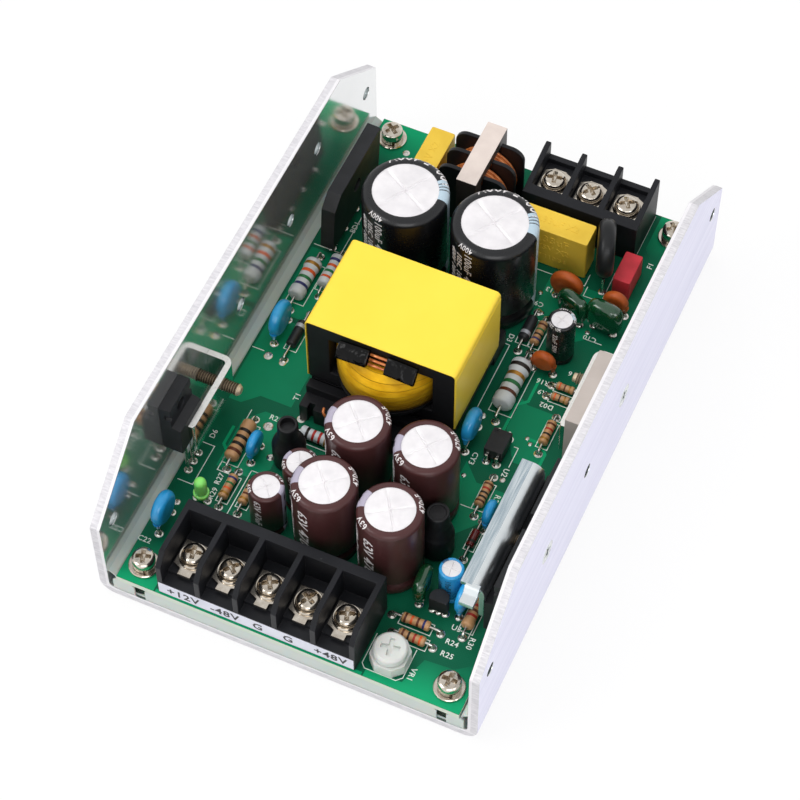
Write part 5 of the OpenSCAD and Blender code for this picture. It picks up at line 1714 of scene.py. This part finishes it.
@dataclass
class ClampedDevices:
    """Packages on the walls, the straps and bar that press them, and the grey cover."""

    bar_face: float = 39.4
    bar_top: float = 30.0
    bar_t: float = 1.3
    bar_wide: float = 5.7
    bar_drop: float = 12.0
    bar_middle: float = -35.9
    bar_long: float = 34.3
    bar_lip: float = 4.0

    def packages(self) -> list[Spot]:
        """Dresses the moulded packages.

        Returns:
            Places of their leads.
        """
        floors = {"left_rectifier": 19.5, "switching_transistor": 12.9, "output_rectifiers": 12.9}
        floors["bridge_rectifier"] = 12.0
        for node, low in floors.items():
            leads: Marker = lambda middle, normal, z=low: 1 if middle.z < z - 0.12 else 0
            dressed_node(node, [Paint.MOULD, Paint.TIN], "package_black", 0.22, leads)
        spots = [(x, y + k * LEAD_PITCH) for x, y in ((-40.3, -38.3), (40.3, 0.7)) for k in (-1, 0, 1)]
        spots += [(40.3, y + k * 2 * LEAD_PITCH) for y in (-45.2, -25.2) for k in (-1, 0, 1)]
        return spots + [(-37.0, 40.6 + (k - 1.5) * 6.6) for k in range(4)]

    def clamps(self) -> None:
        """Dresses the straps and the cover."""
        edges: Marker = lambda middle, normal: 1 if abs(normal.z) > 0.6 else 0
        for node in ("left_clamp_strap", "right_clamp_strap"):
            dressed_node(node, [Paint.STRAP, Paint.STEEL_EDGE], "clamp_zinc", 0.12, edges)
        dressed_node("insulating_cover", [Paint.COVER], "cover_grey", 0.3)

    def bar(self) -> None:
        """Builds the angle bar with its rolled bend, and the lip stepped down at its front end; the bend and
        the lip carry a painted highlight.
        """
        shape, half = Shape(), self.bar_t / 2
        bend = 3.0 - half
        turn = [radians(90 - 90 * k / 14) for k in range(15)]
        centre = Vector((self.bar_face - 3.0, 0.0, self.bar_top - 3.0))
        path = [Vector((self.bar_face - self.bar_wide, 0.0, self.bar_top - half))]
        path += [centre + bend * Vector((cos(t), 0.0, sin(t))) for t in turn]
        path.append(Vector((self.bar_face - half, 0.0, self.bar_top - self.bar_drop)))
        end, high = self.bar_middle - self.bar_long / 2, self.bar_top - half
        # The flat top takes plain zinc, the bend a brighter copy as a painted highlight.
        self.sheet(shape, path, Vector((0.0, 1.0, 0.0)), (end, end + self.bar_long), [0, *[1] * 15])
        steps = ((0.6, 0.0), (-0.3, -0.02), (-1.1, -1.5), (-2.0, -1.75), (-self.bar_lip, -1.8))
        path = rounded_path([Vector((0.0, end + y, high + z)) for y, z in steps], 0.4, 4)
        sides = (self.bar_face - self.bar_wide + 1.3, self.bar_face - 1.0)
        self.sheet(shape, path, Vector((1.0, 0.0, 0.0)), sides, [1] * (len(path) - 1))
        paints = [Paint.ZINC, Paint.ZINC_HIGHLIGHT]
        shape.piece("rolled_clamp_bar", paints, "clamp_zinc", "clamp_bar", bevel=0.12, sharp=40.0)

    def sheet(
        self, shape: Shape, path: Sequence[Vector], across: Vector, ends: Spot, marks: Sequence[int]
    ) -> None:
        """Draws bent sheet metal.

        Args:
            shape: Where it is drawn.
            path: Points along the middle of its thickness.
            across: Direction of its bends.
            ends: Where it starts and ends in that direction.
            marks: Finish number of each length.
        """
        rings = []
        for point, ahead in zip(path, headings(path)):
            off = ahead.cross(across).normalized() * self.bar_t / 2
            corners = [(-1, ends[0]), (1, ends[0]), (1, ends[1]), (-1, ends[1])]
            rings.append([point + s * off + e * across for s, e in corners])
        shape.loft(rings, marks, caps=(True, True))

    def screws(self) -> None:
        """Builds the countersunk screws with their cross recesses and threads, with painted shade in the
        recesses and the thread grooves.
        """
        shape, cross = Shape(), PanScrew()
        for side, y, length in ((-1, -24.8, 13.4), (1, 10.2, 12.6), (1, -35.2, 11.1)):
            place = Matrix.Translation((side * WALL_X, y, HOLE_Z)) @ Matrix.Rotation(-side * pi / 2, 4, "Y")
            turns = cross.angles()

            def ring(share: float, z: float) -> list[Vector]:
                spokes = [(a, cross.recess_radius(a) * share) for a in turns]
                return [place @ Vector((r * cos(a), r * sin(a), z)) for a, r in spokes]

            rim = [place @ Vector((2.65 * cos(a), 2.65 * sin(a), 0.02)) for a in turns]
            recess = [ring(*s) for s in ((1.0, 0.03), (0.95, 0.2), (0.6, 1.0), (TIP, 1.25))]
            shape.loft([rim, *recess], [2, 2, 1, 1])
            profile = [(2.65, 0.02), (2.8, 0.12), (1.5, 1.35)]
            count = int((length - 2.0) / 0.3)
            profile += [(1.5 if i % 2 else 1.12, 1.5 + 0.3 * i) for i in range(count)]
            profile += [(1.1, length - 0.2), (0.9, length), (TIP, length)]
            # Every other step of the thread takes the painted shade of the grooves.
            shaded_grooves = [3 * ((i + 1) % 2) for i in range(count)]
            shape.lathe(profile, place, [2, 2, *shaded_grooves, 0, 0, 0], 32)
        paints = [Paint.THREAD, Paint.RECESS, Paint.STRAP, Paint.GROOVE_SHADE]
        shape.piece("threaded_clamp_screws", paints, "screw_steel", "clamp_screws", sharp=30.0)

    def build(self) -> list[Spot]:
        """Builds all of it.

        Returns:
            Places of the leads.
        """
        self.clamps()
        self.bar()
        self.screws()
        return self.packages()


@dataclass
class SmallDevices:
    """Coupler, reference, lamp, boxed capacitors and trimmer."""

    opto: Spot = (23.0, -6.4)
    opto_half: float = 3.2
    lamp: Spot = (-33.8, -46.6)
    lamp_lift: float = 2.3
    reference: Spot = (27.9, -51.0)

    def boxes(self) -> list[Spot]:
        """Dresses the boxed film capacitors.

        Returns:
            Places of their leads.
        """
        for node in ("line_capacitor_front", "line_capacitor_side"):
            dressed_node(node, [Paint.YELLOW_BOX, Paint.TIN], "film_yellow", 0.4, below_board)
        dressed_node("film_capacitor", [Paint.RED_BOX, Paint.TIN], "film_red", 0.35, below_board)
        self.ratings()
        return [*twin(13.7, 50.6, 0, 15), *twin(-23.1, 57.4, 90, 15), *twin(32.6, 50, 90, 5)]

    def ratings(self) -> None:
        """Moulds the generic ratings in relief on the yellow boxes."""
        shape, relief = Shape(), Matrix.Diagonal((1.0, 1.0, 7.0, 1.0))
        for i, (text, size) in enumerate((("0.33uF", 3.4), ("275V X2", 2.6), ("40/110/56", 2.0))):
            shape.word(text, size, facing_front(13.4, 47.35, 18.6 - 3.4 * i) @ relief, bold=0.01)
        shape.word("275V X2", 2.6, at(-23.1, 57.4, 20.8, 90) @ relief, bold=0.01)
        shape.word("0.33uF X2", 2.6, at(13.7, 50.6, 21.7) @ relief, bold=0.01)
        shape.piece("moulded_ratings", [Paint.YELLOW_BOX], "film_yellow")

    def lamp_piece(self) -> None:
        """Builds the lamp's lens with its collar."""
        shape = Shape()
        r, h = 1.5, 6.2
        profile = [(TIP, 0.0), (1.85, 0.0), (1.9, 0.1), (1.9, 0.9), (1.8, 1.0), (r, 1.05), (r, h - r)]
        profile += [(r * cos(t / 4), h - r + r * sin(t / 4)) for t in range(1, 7)] + [(TIP, h)]
        shape.lathe(profile, at(*self.lamp, TOP + self.lamp_lift), 0, 40)
        for foot in twin(*self.lamp, 0, LEAD_PITCH):
            shape.tube([Vector((*foot, LEAD_END)), Vector((*foot, TOP + self.lamp_lift + 0.2))], WIRE_R, 1)
        shape.piece("lamp_lens", [Paint.LAMP, Paint.TIN], "led_green", "status_led", sharp=50.0)

    def build(self) -> list[Spot]:
        """Builds the devices.

        Returns:
            Places of their leads.
        """
        x, y = self.opto
        reach = self.opto_half + SINK
        legs: Marker = lambda middle, normal: 1 if abs(middle.y - y) > reach or middle.z < TOP + 0.7 else 0
        dressed_node("optocoupler", [Paint.MOULD, Paint.TIN], "package_black", 0.12, legs)
        wires: Marker = lambda middle, normal: 1 if middle.z < TOP + 1.75 else 0
        dressed_node("shunt_reference", [Paint.MOULD, Paint.TIN], "package_black", 0.15, wires)
        dressed_node("trimmer_base", [Paint.TRIM, Paint.TIN], "trimmer_white", 0.2, below_board)
        dressed_node("trimmer_rotor", [Paint.TRIM], "trimmer_white", 0.18, body=ROTOR_BODY)
        self.lamp_piece()
        spots = [(x + a * LEAD_PITCH / 2, y + b * 3.8) for a in (-1, 1) for b in (-1, 1)]
        spots += twin(*self.lamp, 0, LEAD_PITCH)
        spots += [(self.reference[0] + k * 1.5, self.reference[1]) for k in (-1, 0, 1)]
        return spots + self.boxes()


def banded(body: Paint, *rows: tuple) -> tuple[AxialPart, ...]:
    """Makes the resistors of one body colour.

    Args:
        body: Finish of the bodies.
        rows: Place across and along, turn, length, diameter, pitch, first band, band step and bands.

    Returns:
        The resistors.
    """
    parts = []
    for *sizes, start, step, names in rows:
        bands = [(start + i * step, 0.08, Paint[name]) for i, name in enumerate(names.split())]
        parts.append(AxialPart(*sizes, body, tuple(bands)))
    return tuple(parts)


def round_cans() -> list[RoundCan]:
    """The electrolytic capacitors, with generic ratings."""
    black = {"sleeve": Paint.BLACK_CAN, "ink": Paint.WHITE_INK, "slot": "can_black"}
    brown = {"sleeve": Paint.BROWN_CAN, "ink": Paint.WHITE_INK, "slot": "can_brown"}
    blue = {"sleeve": Paint.BLUE_CAN, "ink": Paint.DARK_INK, "slot": "can_blue"}
    bulk_marks = (
        ("100uF 400V", -104, 20.6, 3.0, -90), ("105C 100uF", -119, 19.6, 2.6, -90),
        ("400V 105C", -132, 20.0, 2.6, -90), ("100uF", 58, 29.2, 4.0, 0), ("400V", 116, 29.2, 4.0, 0),
        ("400V", -110, 29.3, 1.9, 180),
    )
    marks = (
        ("63V 470uF", -108, 12.0, 4.0, -90), ("470uF 63V", -148, 12.4, 3.4, -90),
        ("470uF", 38, 24.7, 2.2, 0), ("63V", -128, 24.8, 2.2, 180),
    )
    control = (
        ("22uF 50V", -96, 8.6, 1.8, -90), ("22uF 50V 105C", 64, 14.4, 1.1, 0),
        ("50V 22uF", -110, 14.4, 1.1, 180),
    )
    blue_marks = (("10uF 50V", -84, 6.0, 1.9, -90), ("50V", -128, 6.4, 1.6, -90), ("10uF", 70, 11.0, 1.1, 0))
    small = (("63V 47uF", -96, 10.0, 2.5, -90), ("63V", -148, 15.9, 1.5, 180), ("47uF", 60, 15.9, 1.5, 0))
    places = ((-3, -26.8, 188), (13.8, -26.5, 196), (-3, -44.3, 186), (13.2, -44.7, 178))
    outputs = [
        RoundCan(f"output_capacitor_{i}", x, y, 15.1, 25, 7.5, stripe=turn, marks=marks, **brown)
        for i, (x, y, turn) in enumerate(places, 1)
    ]
    return [
        RoundCan("bulk_capacitor_left", -18.5, 33.3, 20.9, 30, 10, stripe=24, marks=bulk_marks, **black),
        RoundCan("bulk_capacitor_right", 4.4, 33.3, 20.9, 30, 10, stripe=22, marks=bulk_marks, **black),
        *outputs,
        RoundCan("filter_capacitor_1", -17, -45.8, 8.4, 16, 3.5, stripe=10, marks=small, **brown),
        RoundCan("filter_capacitor_2", -12.7, -37, 8.4, 16, 3.5, stripe=170, marks=small, **brown),
        RoundCan("control_capacitor", 25.7, 24.5, 6.7, 14.5, 2.5, stripe=40, marks=control, **black),
        RoundCan("reference_capacitor", 28.4, -45.4, 5.8, 11, 2.5, stripe=150, marks=blue_marks, **blue),
    ]


def axial_groups() -> list[AxialGroup]:
    """The resistors and diodes with their bands."""
    films = banded(
        Paint.TAN_BODY,
        (-32.2, -29.6, 90, 11, 3.6, 15, 0.16, 0.18, "BROWN BLACK BLACK BLACK"),
        (-29.4, -41.8, 90, 6.6, 2.4, 10.4, 0.16, 0.22, "GOLD ORANGE GREEN NAVY"),
        (-24.6, -41.4, 90, 6.6, 2.4, 11, 0.16, 0.22, "GOLD BROWN BLACK BROWN"),
        (25.1, -19.4, 90, 6.8, 2.4, 11.4, 0.14, 0.18, "BROWN BLACK BLACK RED BROWN"),
        (24.6, -56.1, 0, 6.8, 2.4, 12, 0.14, 0.22, "BROWN ORANGE BROWN NAVY"),
        (25.4, -60.1, 0, 6.4, 2.4, 10, 0.16, 0.22, "BROWN BLACK RED ORANGE"),
        (35.4, -48.8, 90, 8.4, 3, 12.4, 0.34, 0.16, "RED BROWN RED GOLD"),
        (32, 2, 90, 6.6, 2.4, 11, 0.16, 0.22, "GOLD BLACK RED BROWN"),
        (31, 15.4, 0, 4.4, 1.9, 7, 0.2, 0.28, "ORANGE BROWN GOLD"),
        (31, 12.2, 0, 4.4, 1.9, 7, 0.2, 0.28, "ORANGE BLACK GOLD"),
        (19.2, 27.2, 90, 6.6, 2.4, 10.6, 0.16, 0.22, "NAVY BLACK GREEN BROWN"),
    )
    powers = banded(
        Paint.GREY_BODY,
        (-38.4, 18.2, 90, 11.5, 4.2, 17.4, 0.26, 0.19, "NAVY GREEN ORANGE GOLD"),
        (-33.8, 23, 90, 9.5, 3.4, 14, 0.22, 0.19, "ORANGE GREEN ORANGE NAVY"),
        (19.4, 10.4, 90, 13.6, 5.2, 19.6, 0.26, 0.19, "BROWN GREEN GOLD BLACK"),
        (-16.6, -21.4, 0, 8, 3.2, 12, 0.24, 0.2, "BLACK RED RED GOLD"),
    )
    pale, dark = Paint.SILVER, Paint.DIODE
    diodes = (
        AxialPart(16.3, 27.4, 90, 7, 2.7, 12.4, dark, ((0.24, 0.14, pale),), 0.0),
        AxialPart(27.5, -31.1, 90, 4.6, 2, 11, Paint.RED_GLASS, ((0.26, 0.16, Paint.BLACK),), 0.0),
        AxialPart(-33.4, 3.2, 90, 7.4, 2.7, 14.6, dark, ((0.76, 0.14, pale),), 0.0),
    )
    return [
        AxialGroup("film_resistors", "resistor_tan", films),
        AxialGroup("power_resistors", "resistor_grey", powers),
        AxialGroup("diodes", "diode_black", diodes),
    ]


def disc_groups() -> list[DiscGroup]:
    """The dipped discs and film capacitors."""
    blue = (
        (-38.6, -55.8, 0, 8.6, 3, 6.2, 2.6), (-27.9, -30.7, 0, 6.6, 2.2, 5, 1.6),
        (-37.6, 3, 0, 9.2, 2.8, 7.5, 1.4), (16.2, -6.2, 0, 8.4, 2.8, 7.5, 2.4),
        (29, -25.2, 0, 6.2, 2.2, 5, 1.6), (32.6, -48, 0, 7.6, 2.2, 5, 1.6),
    )
    orange = (
        (20.8, 40.2, 90, 8.4, 2.6, 5, 1.6), (33.2, 41, 90, 6.4, 2.4, 5, 1.6), (24, 18.4, 90, 6, 2.4, 5, 1.4),
    )
    green = (
        (24.4, 35.2, 68, 8.6, 3.4, 5, 1.2), (32.6, 35.2, 84, 9.4, 4, 5, 1.2),
        (22.9, -48.6, 4, 8.2, 3.2, 5, 1.2),
    )
    thermal = ((26.9, 49.1, 19, 14.4, 4.2, 7.5, 5.6),)
    return [
        DiscGroup("blue_discs", "disc_blue", Paint.BLUE_DISC, blue),
        DiscGroup("orange_discs", "disc_orange", Paint.ORANGE_DISC, orange),
        DiscGroup("green_capacitors", "dip_green", Paint.GREEN_DIP, green, True),
        DiscGroup("thermistor", "disc_black", Paint.BLACK_DISC, thermal),
    ]


@dataclass
class Studio:
    """Floor, light and camera."""

    azimuth: float = 24.86
    elevation: float = 56.85
    distance: float = 641.94
    target: Place = (-5.81, 1.87, 0.0)
    roll: float = -0.48
    lens: float = 120.58
    sky: float = 0.3
    zenith_drop: float = 0.22

    def camera(self) -> None:
        """Sets the camera at the photograph's viewing angle."""
        az, el = radians(self.azimuth), radians(self.elevation)
        back = Vector((sin(az) * cos(el), -cos(az) * cos(el), sin(el)))
        right = (-back).cross(UP).normalized()
        up = right.cross(-back)
        r = radians(self.roll)
        across, upward = cos(r) * right + sin(r) * up, cos(r) * up - sin(r) * right
        data = bpy.data.cameras.new("photo_camera")
        data.lens, data.sensor_width, data.clip_start = self.lens, 36.0, 0.01
        camera = linked("photo_camera", data)
        turn = Matrix((across, upward, back)).transposed().to_4x4()
        camera.matrix_world = Matrix.Translation((Vector(self.target) + back * self.distance) * MM) @ turn
        bpy.context.scene.camera = camera

    def lamp(self, name: str, place: Place, size: float, power: float, mirrored: bool = True) -> None:
        """Hangs a soft square lamp that looks at the part.

        Args:
            name: The lamp's name.
            place: Where it hangs, in metres.
            size: Length of its sides in metres.
            power: Its power in watts.
            mirrored: Whether glossy surfaces show it.
        """
        data = bpy.data.lights.new(name, "AREA")
        data.size, data.energy = size, power
        lamp = linked(name, data)
        lamp.visible_glossy = mirrored
        lamp.location = place
        lamp.rotation_euler = (-Vector(place)).to_track_quat("-Z", "Y").to_euler()

    @staticmethod
    def seen(graph: Graph) -> Socket:
        """One for rays that show the background: from the camera, and in gloss or glass."""
        path = graph.node("ShaderNodeLightPath")
        shine = graph.math("MAXIMUM", path.outputs["Is Glossy Ray"], path.outputs["Is Transmission Ray"])
        return graph.math("MAXIMUM", path.outputs["Is Camera Ray"], shine)

    def world(self) -> None:
        """Lights the part from a pale sky that looks white."""
        world = bpy.data.worlds.new("white_room")
        bpy.context.scene.world = world
        graph = Graph.fresh(world)
        high = graph.math("ABSOLUTE", graph.axes(graph.node("ShaderNodeTexCoord").outputs["Generated"])[2])
        path = graph.node("ShaderNodeLightPath")
        dome = graph.math("SUBTRACT", 1.0, graph.math("MULTIPLY", high, self.zenith_drop))
        shown = graph.math("MAXIMUM", path.outputs["Is Camera Ray"], dome)
        gain = graph.math("SUBTRACT", shown, self.sky)
        light = graph.math("ADD", self.sky, graph.math("MULTIPLY", self.seen(graph), gain))
        sky = graph.node("ShaderNodeBackground", {"Color": (1.0, 1.0, 1.0), "Strength": light})
        graph.node("ShaderNodeOutputWorld", {"Surface": sky.outputs[0]})

    def floor(self) -> None:
        """Lays a white floor that keeps a faint shadow."""
        side, corners = 3.0, ((-1, -1), (1, -1), (1, 1), (-1, 1))
        mesh = bpy.data.meshes.new("studio_floor")
        mesh.from_pydata([(x * side, y * side, -0.4 * MM) for x, y in corners], [], [(0, 1, 2, 3)])
        floor = linked("studio_floor", mesh)
        material = bpy.data.materials.new("studio_white")
        graph = Graph.fresh(material)
        coords = graph.node("ShaderNodeTexCoord").outputs["Object"]
        paper = graph.mix(graph.noise(coords, 3.0), (0.86, 0.86, 0.87), (0.9, 0.9, 0.9))
        matte = graph.node("ShaderNodeBsdfDiffuse", {"Color": paper})
        glow = graph.node("ShaderNodeEmission", {"Color": (1.0, 1.0, 1.0), "Strength": 1.0})
        share = graph.math("MULTIPLY", self.seen(graph), 0.88)
        mixed = graph.node("ShaderNodeMixShader", {0: share, 1: matte.outputs[0], 2: glow.outputs[0]})
        graph.node("ShaderNodeOutputMaterial", {"Surface": mixed.outputs[0]})
        mesh.materials.append(material)

    def build(self) -> None:
        """Sets up the room."""
        bpy.context.scene.view_settings.view_transform = "Standard"
        self.camera()
        self.world()
        self.floor()
        self.lamp("softbox_over", (-0.2, 0.05, 0.95), 0.8, 6.8, mirrored=False)
        self.lamp("softbox_front", (0.35, -0.8, 0.6), 0.6, 2.4)
        self.lamp("softbox_left", (-0.62, -0.55, 0.72), 0.5, 3.0)
        self.lamp("softbox_right", (0.85, -0.05, 0.5), 0.5, 2.2, mirrored=False)


def main() -> None:
    """Builds the part's looks piece by piece."""
    logging.basicConfig(level=logging.INFO, format="%(name)s: %(message)s")
    Studio().build()
    Channel().build()
    legend = (("+12V", 1.0), ("-48V", 1.9), ("G", 0.6), ("G", -1.4), ("+48V", -0.5))
    rows = (
        TerminalRow("output", OpenSide.FRONT, -7.4, 5, -64.3, 5.8, legend=legend),
        TerminalRow("input", OpenSide.REAR, 16.7, 3, 64.6, 8.6, tongue=0.5),
    )
    for row in rows:
        row.build()
    Transformer().build()
    LineChoke().build()
    spots: list[Spot] = []
    for can in round_cans():
        spots += can.build()
    axials = axial_groups()
    for group in (*axials, *disc_groups()):
        spots += group.build()
    drums = (
        DrumChoke("output_choke_left", -20.1, -28.4, 4.0, 2.5, 8, 15, 1.6),
        DrumChoke("output_choke_right", 20.9, -36.1, 3.85, 2.7, 8.4, 16, 0.35),
    )
    for drum in drums:
        spots += drum.build()
    spots += ClampedDevices().build()
    spots += SmallDevices().build()
    outlines = [part.outline() for group in axials for part in group.parts]
    BoardAssembly().build([(x, y, WIRE_R) for x, y in spots], outlines)


if __name__ == "__main__":
    main()
